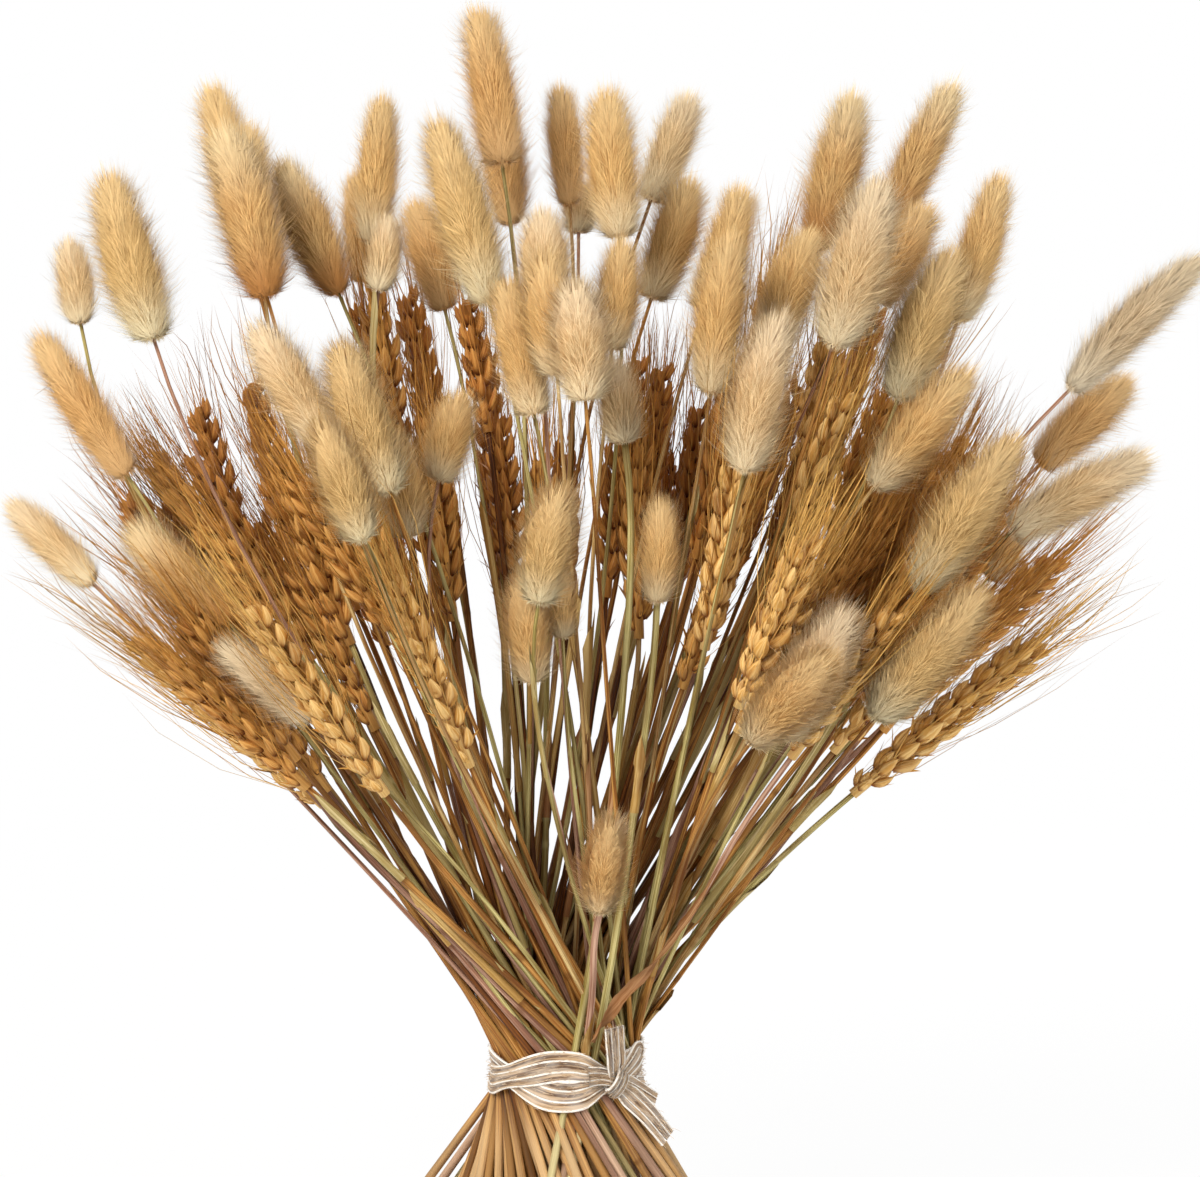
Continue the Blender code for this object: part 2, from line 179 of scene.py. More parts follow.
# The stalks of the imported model, in the order of its nodes, from the left of the fan to the right
BUNNY_TAILS = (
    Stalk(-186, 337, -10, -8, 31, 15, FurTone.CREAM),
    Stalk(-155, 332, 15, -15, 59, 23, FurTone.GREEN_FOOT),
    Stalk(-116, 347, 30, -14, 60, 24, FurTone.RUSSET_FOOT),
    Stalk(-93, 348, 0, -24, 51, 21, FurTone.RUSSET_FOOT),
    Stalk(-83, 366, -40, 4, 53, 16, FurTone.GOLD),
    Stalk(-39, 345, 15, -16, 65, 22, FurTone.GREEN_FOOT),
    Stalk(-35, 394, -10, -9, 55, 20, FurTone.AMBER),
    Stalk(-11, 380, -35, -5, 43, 14, FurTone.AMBER),
    Stalk(7, 368, -10, -5, 52, 22, FurTone.GOLD),
    Stalk(18, 382, -60, 21, 42, 17, FurTone.CREAM),
    Stalk(-4, 312, 55, -5, 42, 22, FurTone.CREAM),
    Stalk(-23, 306, 25, -12, 48, 19, FurTone.GOLD),
    Stalk(18, 346, -35, 18, 46, 20, FurTone.GOLD),
    Stalk(38, 313, 20, 8, 56, 21, FurTone.GOLD),
    Stalk(50, 288, 60, 12, 55, 22, FurTone.CREAM),
    Stalk(78, 364, -30, 14, 57, 21, FurTone.RUSSET_FOOT),
    Stalk(80, 330, 35, 15, 59, 25, FurTone.CREAM),
    Stalk(104, 373, -20, 25, 54, 18, FurTone.RUSSET_FOOT),
    Stalk(129, 338, -25, 17, 54, 18, FurTone.GOLD),
    Stalk(105, 311, 20, 20, 55, 23, FurTone.GREEN_FOOT),
    Stalk(162, 314, 5, 45, 64, 17, FurTone.GREY),
    Stalk(98, 281, 40, 38, 52, 20, FurTone.GOLD),
    Stalk(159, 285, -30, 47, 46, 20, FurTone.AMBER),
    Stalk(142, 264, 25, 61, 54, 19, FurTone.CREAM),
    Stalk(110, 246, 45, 31, 62, 22, FurTone.GREEN_FOOT),
    Stalk(98, 202, 50, 38, 59, 22, FurTone.GREEN_FOOT),
    Stalk(50, 196, 80, 39, 45, 22, FurTone.GOLD),
    Stalk(20, 240, 25, 2, 37, 14, FurTone.GOLD),
    Stalk(-21, 243, 60, 11, 43, 20, FurTone.GREEN_FOOT),
    Stalk(0, 134, 45, 7, 42, 15, FurTone.GOLD),
    Stalk(-168, 284, 5, -32, 57, 17, FurTone.AMBER),
    Stalk(-184, 243, -15, -46, 42, 16, FurTone.CREAM),
    Stalk(-131, 233, 30, -44, 48, 21, FurTone.RUSSET_FOOT),
    Stalk(-101, 202, 50, -49, 42, 17, FurTone.GREY),
    Stalk(-71, 280, 55, -18, 55, 22, FurTone.GREEN_FOOT),
    Stalk(-80, 266, 85, -18, 46, 19, FurTone.GREEN_FOOT),
)
WHEAT_EARS = (
    Stalk(-100, 167, 10, -48, 142, 14, WheatTone.GOLD),
    Stalk(-107, 192, -20, -46, 125, 13, WheatTone.AMBER),
    Stalk(-75, 176, 60, -33, 140, 14, WheatTone.GOLD),
    Stalk(-46, 185, 50, -21, 120, 13, WheatTone.GOLD),
    Stalk(-132, 231, -35, -30, 100, 13, WheatTone.AMBER),
    Stalk(-114, 253, -60, -15, 105, 13, WheatTone.BROWN),
    Stalk(-89, 224, 5, -21, 110, 14, WheatTone.AMBER),
    Stalk(-57, 285, -45, -13, 100, 13, WheatTone.BROWN),
    Stalk(-52, 231, -15, -7, 120, 14, WheatTone.AMBER),
    Stalk(-36, 253, -55, -5, 115, 13, WheatTone.BROWN),
    Stalk(14, 224, -20, -1, 120, 13, WheatTone.AMBER),
    Stalk(28, 236, -50, 8, 115, 13, WheatTone.BROWN),
    Stalk(36, 224, 25, 10, 115, 14, WheatTone.GOLD),
    Stalk(61, 242, 15, 21, 115, 14, WheatTone.GOLD),
    Stalk(50, 206, 50, 21, 105, 14, WheatTone.GOLD),
    Stalk(52, 281, -55, 10, 120, 13, WheatTone.AMBER),
    Stalk(89, 224, 0, 27, 110, 14, WheatTone.AMBER),
    Stalk(86, 288, -65, 18, 95, 13, WheatTone.BROWN),
    Stalk(93, 267, -35, 25, 100, 13, WheatTone.AMBER),
    Stalk(118, 217, -20, 30, 100, 13, WheatTone.AMBER),
    Stalk(93, 171, 10, 50, 135, 14, WheatTone.GOLD),
    Stalk(115, 200, -30, 47, 115, 14, WheatTone.AMBER),
    Stalk(105, 235, -55, 44, 105, 13, WheatTone.BROWN),
)

# Stalks further in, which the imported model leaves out
MORE_BUNNY_TAILS = (
    Stalk(-127, 367, -20, -13, 56, 20, FurTone.GOLD),
    Stalk(-116, 351, 5, -5, 55, 18, FurTone.GOLD),
    Stalk(-87, 352, -50, -3, 40, 14, FurTone.AMBER),
    Stalk(-79, 349, 0, 9, 27, 13, FurTone.CREAM),
    Stalk(-58, 342, -25, -16, 41, 19, FurTone.AMBER),
    Stalk(-34, 373, -45, -8, 44, 18, FurTone.AMBER),
    Stalk(-10, 370, -60, 0, 20, 14, FurTone.CREAM),
    Stalk(-20, 345, 20, 0, 33, 21, FurTone.CREAM),
    Stalk(-17, 320, 35, -5, 42, 20, FurTone.GOLD),
    Stalk(4, 328, 0, 6, 39, 17, FurTone.GOLD),
    Stalk(8, 296, 20, -8, 30, 16, FurTone.CREAM),
    Stalk(37, 342, -20, 18, 46, 18, FurTone.GOLD),
    Stalk(60, 331, -5, 20, 42, 21, FurTone.GOLD),
    Stalk(96, 345, -5, 28, 39, 19, FurTone.AMBER),
    Stalk(140, 244, -40, 37, 20, 14, FurTone.GOLD),
    Stalk(68, 196, 45, 27, 52, 23, FurTone.CREAM),
    Stalk(-22, 213, 45, -5, 40, 18, FurTone.GOLD),
    Stalk(-12, 228, 30, -3, 25, 12, FurTone.GOLD),
    Stalk(-97, 296, 25, -31, 48, 21, FurTone.CREAM),
    Stalk(-59, 282, 10, 16, 33, 18, FurTone.GOLD),
    Stalk(-67, 263, 30, -8, 38, 19, FurTone.GOLD),
)
MORE_WHEAT_EARS = (
    Stalk(-14, 231, -20, -3, 90, 12, WheatTone.AMBER),
    Stalk(8, 285, -50, 6, 62, 11, WheatTone.BROWN),
    Stalk(91, 203, 10, 24, 105, 13, WheatTone.AMBER),
    Stalk(106, 248, -10, 28, 84, 12, WheatTone.AMBER),
    Stalk(-115, 235, -10, -39, 95, 13, WheatTone.AMBER),
    Stalk(-129, 253, -30, -18, 90, 12, WheatTone.BROWN),
    Stalk(-71, 231, 20, -30, 95, 13, WheatTone.AMBER),
    Stalk(-71, 299, -20, -11, 75, 12, WheatTone.AMBER),
    Stalk(-41, 299, -15, -9, 75, 12, WheatTone.BROWN),
    Stalk(-77, 292, -30, -12, 80, 12, WheatTone.BROWN),
    Stalk(71, 285, -30, 14, 85, 12, WheatTone.GOLD),
    Stalk(79, 253, 5, 22, 95, 13, WheatTone.AMBER),
    Stalk(105, 217, 15, 25, 100, 13, WheatTone.AMBER),
    Stalk(75, 295, -50, 14, 80, 12, WheatTone.BROWN),
    Stalk(88, 205, 20, 40, 100, 13, WheatTone.BROWN),
)

# Ears that fill the fan: how many, the ranges of how far they lean, how far their tips are from the
# tie and how far ahead of it, and their shade, brown at the back partly as painted shade
FILLER_EARS = (
    (16, (-39.0, -9.0), (255.0, 298.0), (-62.0, -15.0), WheatTone.BROWN),
    (8, (-8.0, 12.0), (250.0, 288.0), (-60.0, -15.0), WheatTone.BROWN),
    (16, (12.0, 40.0), (255.0, 300.0), (-62.0, -15.0), WheatTone.BROWN),
    (8, (-42.0, -18.0), (225.0, 270.0), (-10.0, 35.0), WheatTone.AMBER),
    (9, (16.0, 43.0), (222.0, 272.0), (-10.0, 40.0), WheatTone.AMBER),
    (3, (24.0, 40.0), (232.0, 258.0), (15.0, 45.0), WheatTone.GOLD),
)


def unit(rows: np.ndarray) -> np.ndarray:
    """Each row at length 1."""
    return rows / np.maximum(np.linalg.norm(rows, axis=-1, keepdims=True), TINY)


def world(points: np.ndarray) -> np.ndarray:
    """Points in millimetres from the ribbon's axis, as metres in the bunch's frame."""
    return (np.asarray(points, float) + (TIE_ACROSS, TIE_BACK, 0.0)) * MM


def triples(size: tuple, first: object, second: object = 0.0, third: object = 0.0) -> np.ndarray:
    """Three numbers for each point of an array of this size."""
    return np.stack([np.broadcast_to(part, size) for part in (first, second, third)], axis=-1)


def swung(turns: np.ndarray, aside: np.ndarray, out: np.ndarray) -> np.ndarray:
    """The direction at each turn from aside towards out."""
    return np.cos(turns)[..., None] * aside + np.sin(turns)[..., None] * out


def evened(line: np.ndarray, times: int) -> np.ndarray:
    """Values along a line, each drawn towards its neighbours a few times."""
    line = line.copy()
    for _ in range(times):
        line[1:-1] = (line[:-2] + 2 * line[1:-1] + line[2:]) / 4
    return line


def through(points: tuple, count: int, times: int) -> np.ndarray:
    """A line of so many points through a few places, evened a few times."""
    rows = np.array(points, float)
    at = np.linspace(0, len(rows) - 1, count)
    line = np.stack([np.interp(at, np.arange(len(rows)), rows[:, axis]) for axis in range(3)], axis=1)
    return evened(line, times)


def way_along(path: np.ndarray) -> np.ndarray:
    """How far along a path each of its points lies."""
    return np.concatenate([[0.0], np.cumsum(np.linalg.norm(np.diff(path, axis=0), axis=1))])


def net(rows: int, columns: int, closed: bool = False) -> np.ndarray:
    """The faces of a net of points, whose rows may close into rings.

    Args:
        rows: how many rows of points it has.
        columns: how many points a row has.
        closed: whether each row closes into a ring.

    Returns:
        The four point numbers of each face.
    """
    across = columns if closed else columns - 1
    row, column = np.meshgrid(np.arange(rows - 1), np.arange(across), indexing="ij")
    here, after = row * columns + column, row * columns + (column + 1) % columns
    return np.stack([here, after, after + columns, here + columns], axis=-1).reshape(-1, 4)


def linked(name: str, data: bpy.types.ID) -> bpy.types.Object:
    """A new object in the scene."""
    made = bpy.data.objects.new(name, data)
    bpy.context.scene.collection.objects.link(made)
    return made


def inside_box(start: np.ndarray, tip: np.ndarray) -> np.ndarray:
    """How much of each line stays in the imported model's box, or a little past it.

    Args:
        start: where each line starts, in millimetres from the ribbon's axis.
        tip: where it ends.

    Returns:
        A share of its length.
    """
    low, high = np.array(CAD_BOX[0]) - REACH_PAST, np.array(CAD_BOX[1]) + REACH_PAST
    start, step = world(start), world(tip) - world(start)
    wall = np.where(step > 0, high, low)
    level = np.abs(step) < TINY
    share = (wall - start) / np.where(level, TINY, step)
    return np.clip(np.where(level, 1.0, share).min(axis=1), LEAST_AWN, 1.0)


class Bunch:
    """Every stalk's line, from its cut end through the ribbon to the tip of its head.

    Across and in depth, places are measured from the ribbon's axis. A stalk's place at any height is
    fixed by two points, where it passes the ribbon (waist) and where its head starts (neck), so settling
    moves only those.
    """

    def __init__(self, stalks: list[tuple[Kind, Stalk]], settled: "Bunch | None" = None) -> None:
        """Lays the stalks out in a spiral.

        Args:
            stalks: each stalk with its kind.
            settled: a bunch of the first few of them, whose places are kept.
        """
        self.stalks = stalks
        rows = np.array([stalk[:6] for _, stalk in stalks], float)
        across, self.up, ahead, lean, self.length, self.girth = rows.T
        self.foot_radius = np.array([kind.foot_radius for kind, _ in stalks])
        self.neck_radius = np.array([kind.neck_radius for kind, _ in stalks])
        self.wanted = np.stack([across - TIE_ACROSS, -ahead], axis=1)
        rise = self.up - TIE_HEIGHT
        toward = -ahead / rise
        self.aim = unit(np.stack([np.tan(np.radians(lean)), toward, np.ones(len(rise))], axis=1))
        self.top = self.up + self.length * self.aim[:, 2]
        self.neck = self.wanted.copy()
        self.waist = self.first_waist(rise)
        reach = np.hypot(np.linalg.norm(self.neck - self.waist, axis=1), rise)
        self.bow = BOW * reach
        self.held = 0
        if settled is not None:
            self.held = len(settled.stalks)
            self.neck[: self.held] = settled.neck
            self.waist[: self.held] = settled.waist
            self.bow[: self.held] = settled.bow
        self.bend_height = self.up - self.bow * self.aim[:, 2]
        self.set_levels()

    def first_waist(self, rise: np.ndarray) -> np.ndarray:
        """A spiral: seen from above, each stalk passes the tie a quarter turn round from its head.

        Args:
            rise: how far each head starts above the tie.

        Returns:
            Each stalk's place at the tie.
        """
        slant = self.wanted / rise[:, None] * (1.0, FAN_RATIO)
        share = np.linalg.norm(slant, axis=1)
        share = np.clip(INNER_SHARE + LEAN_SHARE * share / share.max(), 0.0, 1.0)
        self.waist_reach = WAIST_RADIUS - GAP - self.stem_radius(TIE_HEIGHT)
        turned = np.stack([-slant[:, 1], slant[:, 0]], axis=1)
        waist = unit(turned) * (self.waist_reach * share)[:, None]
        for index, place in FRONT_STALKS.items():
            if index < len(waist):
                waist[index] = place
        return waist

    def stem_radius(self, height: float) -> np.ndarray:
        """Every stem's radius at this height."""
        return self.foot_radius + (self.neck_radius - self.foot_radius) * height / self.up

    def head_radius(self, index: int, share: float) -> float:
        """One head's radius at this share of its length."""
        shares, sizes = zip(*self.stalks[index][0].outline)
        return float(np.interp(share, shares, sizes)) * self.girth[index] / 2

    def set_levels(self) -> None:
        """Works out, for each stalk at each level, how its place follows from its waist and its neck."""
        self.levels = np.arange(0.0, self.top.max() + LEVEL_STEP, LEVEL_STEP)
        size = (len(self.stalks), len(self.levels))
        self.by_waist, self.by_neck = np.zeros(size), np.zeros(size)
        self.offset, self.radius = np.zeros((*size, 2)), np.full(size, np.nan)
        for i in range(len(self.stalks)):
            for k, height in enumerate(self.levels):
                self.set_level(i, k, height)

    def set_level(self, i: int, k: int, height: float) -> None:
        """Works out one stalk at one level. Its radius stays NaN above its tip.

        Args:
            i: the stalk's number.
            k: the level's number.
            height: the level's height.
        """
        if height > self.top[i] + LEVEL_STEP:
            return
        if height > self.up[i]:
            self.by_neck[i, k] = 1.0
            self.offset[i, k] = (height - self.up[i]) * self.aim[i, :2] / self.aim[i, 2]
            share = (height - self.up[i]) / (self.top[i] - self.up[i])
            self.radius[i, k] = self.head_radius(i, share)
            return
        below = np.zeros(2)
        if height > TIE_HEIGHT:
            drop = self.up[i] + TIE_HEIGHT - 2 * self.bend_height[i]
            climb = self.bend_height[i] - TIE_HEIGHT
            along = (math.sqrt(climb**2 + drop * (height - TIE_HEIGHT)) - climb) / drop
            bent = along * along + 2 * along * (1 - along)
            pull = 2 * along * (1 - along)
        elif i in FRONT_STALKS:
            bent, pull = 0.0, 0.0
            below = (height - TIE_HEIGHT) * np.array(FRONT_SLANT)
        else:
            bent = FOOT_SPREAD * (height - TIE_HEIGHT) / (self.bend_height[i] - TIE_HEIGHT)
            pull = bent
        self.by_waist[i, k], self.by_neck[i, k] = 1 - bent, bent
        self.offset[i, k] = below - pull * self.bow[i] * self.aim[i, :2]
        self.radius[i, k] = self.stem_radius(height)[i]

    def places(self) -> np.ndarray:
        """Each stalk's place at each level, from the ribbon's axis."""
        by_waist = self.by_waist[..., None] * self.waist[:, None]
        return by_waist + self.by_neck[..., None] * self.neck[:, None] + self.offset

    def settle(self, rounds: int) -> None:
        """Pushes the stalks clear of each other while, at first, they spring out against the ribbon.

        Args:
            rounds: how many times to push.
        """
        first, second = np.triu_indices(len(self.stalks), 1)
        first, second = first[second >= self.held], second[second >= self.held]
        thick = np.maximum(self.radius[:, :-1], self.radius[:, 1:])
        needed = np.nan_to_num(thick[first] + thick[second] + GAP, nan=-1e3)
        free = slice(self.held, None)
        for turn in range(rounds):
            self.push_apart(first, second, needed)
            if turn < LOOSE_SHARE * rounds:
                self.neck[free] += ((self.wanted - self.neck) * HEAD_PULL)[free]
                self.waist[free] += SPRING_OUT * unit(self.waist)[free]
            out = np.linalg.norm(self.waist, axis=1)
            self.waist *= np.minimum(1.0, self.waist_reach / np.maximum(out, TINY))[:, None]

    def push_apart(self, first: np.ndarray, second: np.ndarray, needed: np.ndarray) -> None:
        """Moves each pair that is too close by half of what it lacks, at the height where it is closest.

        Args:
            first: the first stalk of each pair.
            second: the second stalk of each pair.
            needed: the distance that each pair needs at each level.
        """
        places = self.places()
        slant = np.diff(places, axis=1) / LEVEL_STEP
        low = places[first, :-1] - places[second, :-1]
        change = places[first, 1:] - places[second, 1:] - low
        share = -(low * change).sum(-1) / np.maximum((change * change).sum(-1), 1e-9)
        share = np.clip(share, 0.0, 1.0)
        apart = low + share[..., None] * change
        flat = np.maximum(np.linalg.norm(apart, axis=-1), TINY)
        mean = (slant[first] + slant[second]) / 2
        along = (apart * mean).sum(-1) ** 2 / (1 + (mean * mean).sum(-1))
        true = np.sqrt(np.maximum(flat**2 - along, TOUCHING**2))
        pair, level = np.nonzero(needed > true)
        lack, true = needed[pair, level] - true[pair, level], true[pair, level]
        move = apart[pair, level] * (lack / true / 2)[:, None]
        share = share[pair, level]
        shift = {"waist": np.zeros_like(self.waist), "neck": np.zeros_like(self.neck)}
        total = {"waist": np.zeros(len(self.stalks)), "neck": np.zeros(len(self.stalks))}
        for stalk, sign in ((first[pair], 1), (second[pair], -1)):
            waist = self.by_waist[stalk, level] * (1 - share) + self.by_waist[stalk, level + 1] * share
            neck = self.by_neck[stalk, level] * (1 - share) + self.by_neck[stalk, level + 1] * share
            for name, part in (("waist", waist), ("neck", neck)):
                part = part / (waist**2 + neck**2)
                np.add.at(shift[name], stalk, sign * move * part[:, None])
                np.add.at(total[name], stalk, np.abs(part))
        free = slice(self.held, None)
        self.waist[free] += (PUSH * shift["waist"] / np.maximum(total["waist"], 1)[:, None])[free]
        self.neck[free] += (PUSH * shift["neck"] / np.maximum(total["neck"], 1)[:, None])[free]

    def stem_path(self, index: int, shares: np.ndarray) -> np.ndarray:
        """Points up one stem.

        Args:
            index: the stalk's number.
            shares: where to take them, from -1 at the cut end, 0 at the tie, to 1 where the head starts.

        Returns:
            The points, in millimetres from the ribbon's axis.
        """
        waist = np.array([*self.waist[index], TIE_HEIGHT])
        neck = np.array([*self.neck[index], self.up[index]])
        bend = neck - self.bow[index] * self.aim[index]
        down = (bend - waist) * TIE_HEIGHT / (bend[2] - waist[2])
        down[:2] *= FOOT_SPREAD
        if index in FRONT_STALKS:
            down[:2] = down[2] * np.array(FRONT_SLANT)
        above = np.clip(shares, 0.0, 1.0)[:, None]
        curve = (1 - above) ** 2 * waist + 2 * above * (1 - above) * bend + above**2 * neck
        return curve + np.minimum(shares, 0.0)[:, None] * down

    def places_at(self, height: float) -> np.ndarray:
        """Each stem's place at this height, which is below the lowest head.

        Args:
            height: above the cut ends.

        Returns:
            The places, from the ribbon's axis.
        """
        above = int(np.searchsorted(self.levels, height))
        share = (height - self.levels[above - 1]) / LEVEL_STEP
        places = self.places()
        return places[:, above - 1] * (1 - share) + places[:, above] * share

    def reach_round(self, height: float, bearings: np.ndarray) -> np.ndarray:
        """How far a thread drawn tight round all the stems at this height lies from the axis.

        Args:
            height: above the cut ends.
            bearings: the directions to look in, in radians from the right towards the back.

        Returns:
            The thread's distance in each direction.
        """
        places = self.places_at(height)
        slant = (self.places_at(height + LEVEL_STEP) - places) / LEVEL_STEP
        radius = self.stem_radius(height) * np.hypot(1.0, np.linalg.norm(slant, axis=1))
        turns = np.linspace(0.0, 2 * math.pi, 180, endpoint=False)
        facing = np.stack([np.cos(turns), np.sin(turns)], axis=1)
        support = (places @ facing.T + radius[:, None]).max(axis=0)
        slack = np.cos(turns[:, None] - bearings[None, :])
        return np.where(slack > 0.05, support[:, None] / np.maximum(slack, 0.05), np.inf).min(axis=0)


@dataclass
class Shape:
    """The mesh of one piece as it is gathered.

    Every point carries three marks that its material reads: along (from root to tip), rank (what the
    finish needs it for) and shade (a random number that is the same over one hair, husk or stem, which on
    the fur also carries painted light and shade). It also carries its grain, a place in a space that runs
    lengthwise on every stem, husk and ribbon.
    """

    name: str
    points: list[np.ndarray] = field(default_factory=list)
    normals: list[np.ndarray] = field(default_factory=list)
    marks: list[np.ndarray] = field(default_factory=list)
    grains: list[np.ndarray] = field(default_factory=list)
    faces: list[list] = field(default_factory=list)
    wears: list[int] = field(default_factory=list)
    finishes: list[bpy.types.Material] = field(default_factory=list)
    count: int = 0

    def slot_of(self, finish: bpy.types.Material) -> int:
        """The number of this finish on the piece, which gets it if it hasn't."""
        if finish not in self.finishes:
            self.finishes.append(finish)
        return self.finishes.index(finish)

    def add(
        self,
        points: np.ndarray,
        faces: np.ndarray,
        finish: bpy.types.Material,
        marks: np.ndarray,
        normals: np.ndarray | None = None,
        grain: np.ndarray | None = None,
    ) -> None:
        """Adds points and faces.

        Args:
            points: in millimetres from the ribbon's axis.
            faces: rows of point numbers, all of one length, counted from the first of these points.
            finish: the material that the faces wear.
            marks: along, rank and shade of each point.
            normals: which way each point's surface looks, or None to follow its faces.
            grain: each point's place in the lengthwise space, or None where the finish has none.
        """
        points = np.reshape(points, (-1, 3))
        blank = np.zeros(points.shape)
        self.points.append(world(points))
        self.normals.append(blank if normals is None else normals)
        self.marks.append(np.broadcast_to(np.reshape(marks, (-1, 3)), points.shape))
        self.grains.append(blank if grain is None else np.reshape(grain, (-1, 3)))
        self.join(faces, finish, self.count)
        self.count += len(points)

    def join(self, faces: np.ndarray, finish: bpy.types.Material, first: int) -> None:
        """Adds faces whose point numbers count from this first point."""
        self.faces.extend((faces + first).tolist())
        self.wears.extend([self.slot_of(finish)] * len(faces))

    def tube(
        self,
        path: np.ndarray,
        radii: np.ndarray,
        sides: int,
        finish: bpy.types.Material,
        marks: np.ndarray,
    ) -> None:
        """Adds a closed tube.

        Args:
            path: its middle line.
            radii: its radius at each point of the path.
            sides: how many it has.
            finish: its material.
            marks: along, rank and shade at each point of the path, or for all of them.
        """
        heading = unit(np.gradient(path, axis=0))
        aside = unit(np.cross(heading, NOWHERE_ALONG))
        turns = np.linspace(0.0, 2 * math.pi, sides, endpoint=False)
        ring = swung(turns[None], aside[:, None], np.cross(aside, heading)[:, None])
        body = (path[:, None] + ring * np.asarray(radii)[:, None, None]).reshape(-1, 3)
        points = np.concatenate([body, path[:1], path[-1:]])
        spread = np.broadcast_to(marks, (len(path), 3))
        full = np.concatenate([np.repeat(spread, sides, axis=0), spread[:1], spread[-1:]])
        apart = np.cos(turns) + GRAIN_APART * spread[:, 2:]
        steps = way_along(path)[:, None] / GRAIN_LENGTH
        lie = triples(apart.shape, apart, np.sin(turns), steps).reshape(-1, 3)
        lie = np.concatenate([lie, lie[:1], lie[-1:]])
        first, end, last = self.count, len(body), len(body) - sides
        self.add(points, net(len(path), sides, True)[:, ::-1], finish, full, grain=lie)
        around = np.arange(sides)
        after = (around + 1) % sides
        self.join(triples(around.shape, around, after, end), finish, first)
        self.join(triples(around.shape, end + 1, last + after, last + around), finish, first)

    def strands(
        self,
        lines: np.ndarray,
        widths: np.ndarray,
        facing: np.ndarray,
        finish: bpy.types.Material,
        marks: np.ndarray,
        normals: np.ndarray | None = None,
    ) -> None:
        """Adds flat strands that taper to a point.

        Args:
            lines: for each strand its points from root to tip.
            widths: for each strand its width at each of them but the last.
            facing: for each strand which way its broad side looks.
            finish: their material.
            marks: for each strand and point along, rank and shade.
            normals: for each strand which way it is shaded as looking, or None.
        """
        many, steps = lines.shape[:2]
        heading = unit(lines[:, -1] - lines[:, 0])
        aside = unit(np.cross(heading, facing))[:, None] * widths[..., None] / 2
        left, right = lines[:, :-1] - aside, lines[:, :-1] + aside
        points = np.concatenate([np.stack([left, right], axis=2).reshape(many, -1, 3), lines[:, -1:]], axis=1)
        each = points.shape[1]
        spread = np.concatenate([np.repeat(marks[:, :-1], 2, axis=1), marks[:, -1:]], axis=1)
        look = None if normals is None else np.repeat(normals, each, axis=0)
        starts = np.arange(many)[:, None] * each
        first = self.count
        self.add(points, starts + np.arange(each - 3, each), finish, spread, look)
        for low in range(0, 2 * (steps - 2), 2):
            self.join(starts + np.array([low, low + 1, low + 3, low + 2]), finish, first)

    def make(self) -> bpy.types.Object:
        """Makes the object.

        Returns:
            The piece, linked to the scene and riding on the bunch's body.
        """
        mesh = bpy.data.meshes.new(self.name)
        points = np.concatenate(self.points)
        points[:, 2] = np.maximum(points[:, 2], 0.0)
        mesh.from_pydata(points.astype(np.float32), [], self.faces)
        for finish in self.finishes:
            mesh.materials.append(finish)
        mesh.polygons.foreach_set("material_index", np.array(self.wears, np.int32))
        mesh.shade_smooth()
        marks = np.concatenate(self.marks).astype(np.float32)
        for column, name in enumerate(("along", "rank", "shade")):
            values = mesh.attributes.new(name, "FLOAT", "POINT")
            values.data.foreach_set("value", np.ascontiguousarray(marks[:, column]))
        lie = mesh.attributes.new("grain", "FLOAT_VECTOR", "POINT")
        lie.data.foreach_set("vector", np.concatenate(self.grains).astype(np.float32).ravel())
        normals = np.concatenate(self.normals)
        if np.abs(normals).max() > 0:
            mesh.normals_split_custom_set_from_vertices(normals.astype(np.float32))
        made = linked(self.name, mesh)
        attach(made, BODY)
        return made


def colour(code: str) -> tuple[float, float, float, float]:
    """A colour written as six hex digits, as Blender's linear values."""
    parts = [int(code[i : i + 2], 16) / 255 for i in (1, 3, 5)]
    linear = [part / 12.92 if part <= 0.04045 else ((part + 0.055) / 1.055) ** 2.4 for part in parts]
    return (*linear, 1.0)


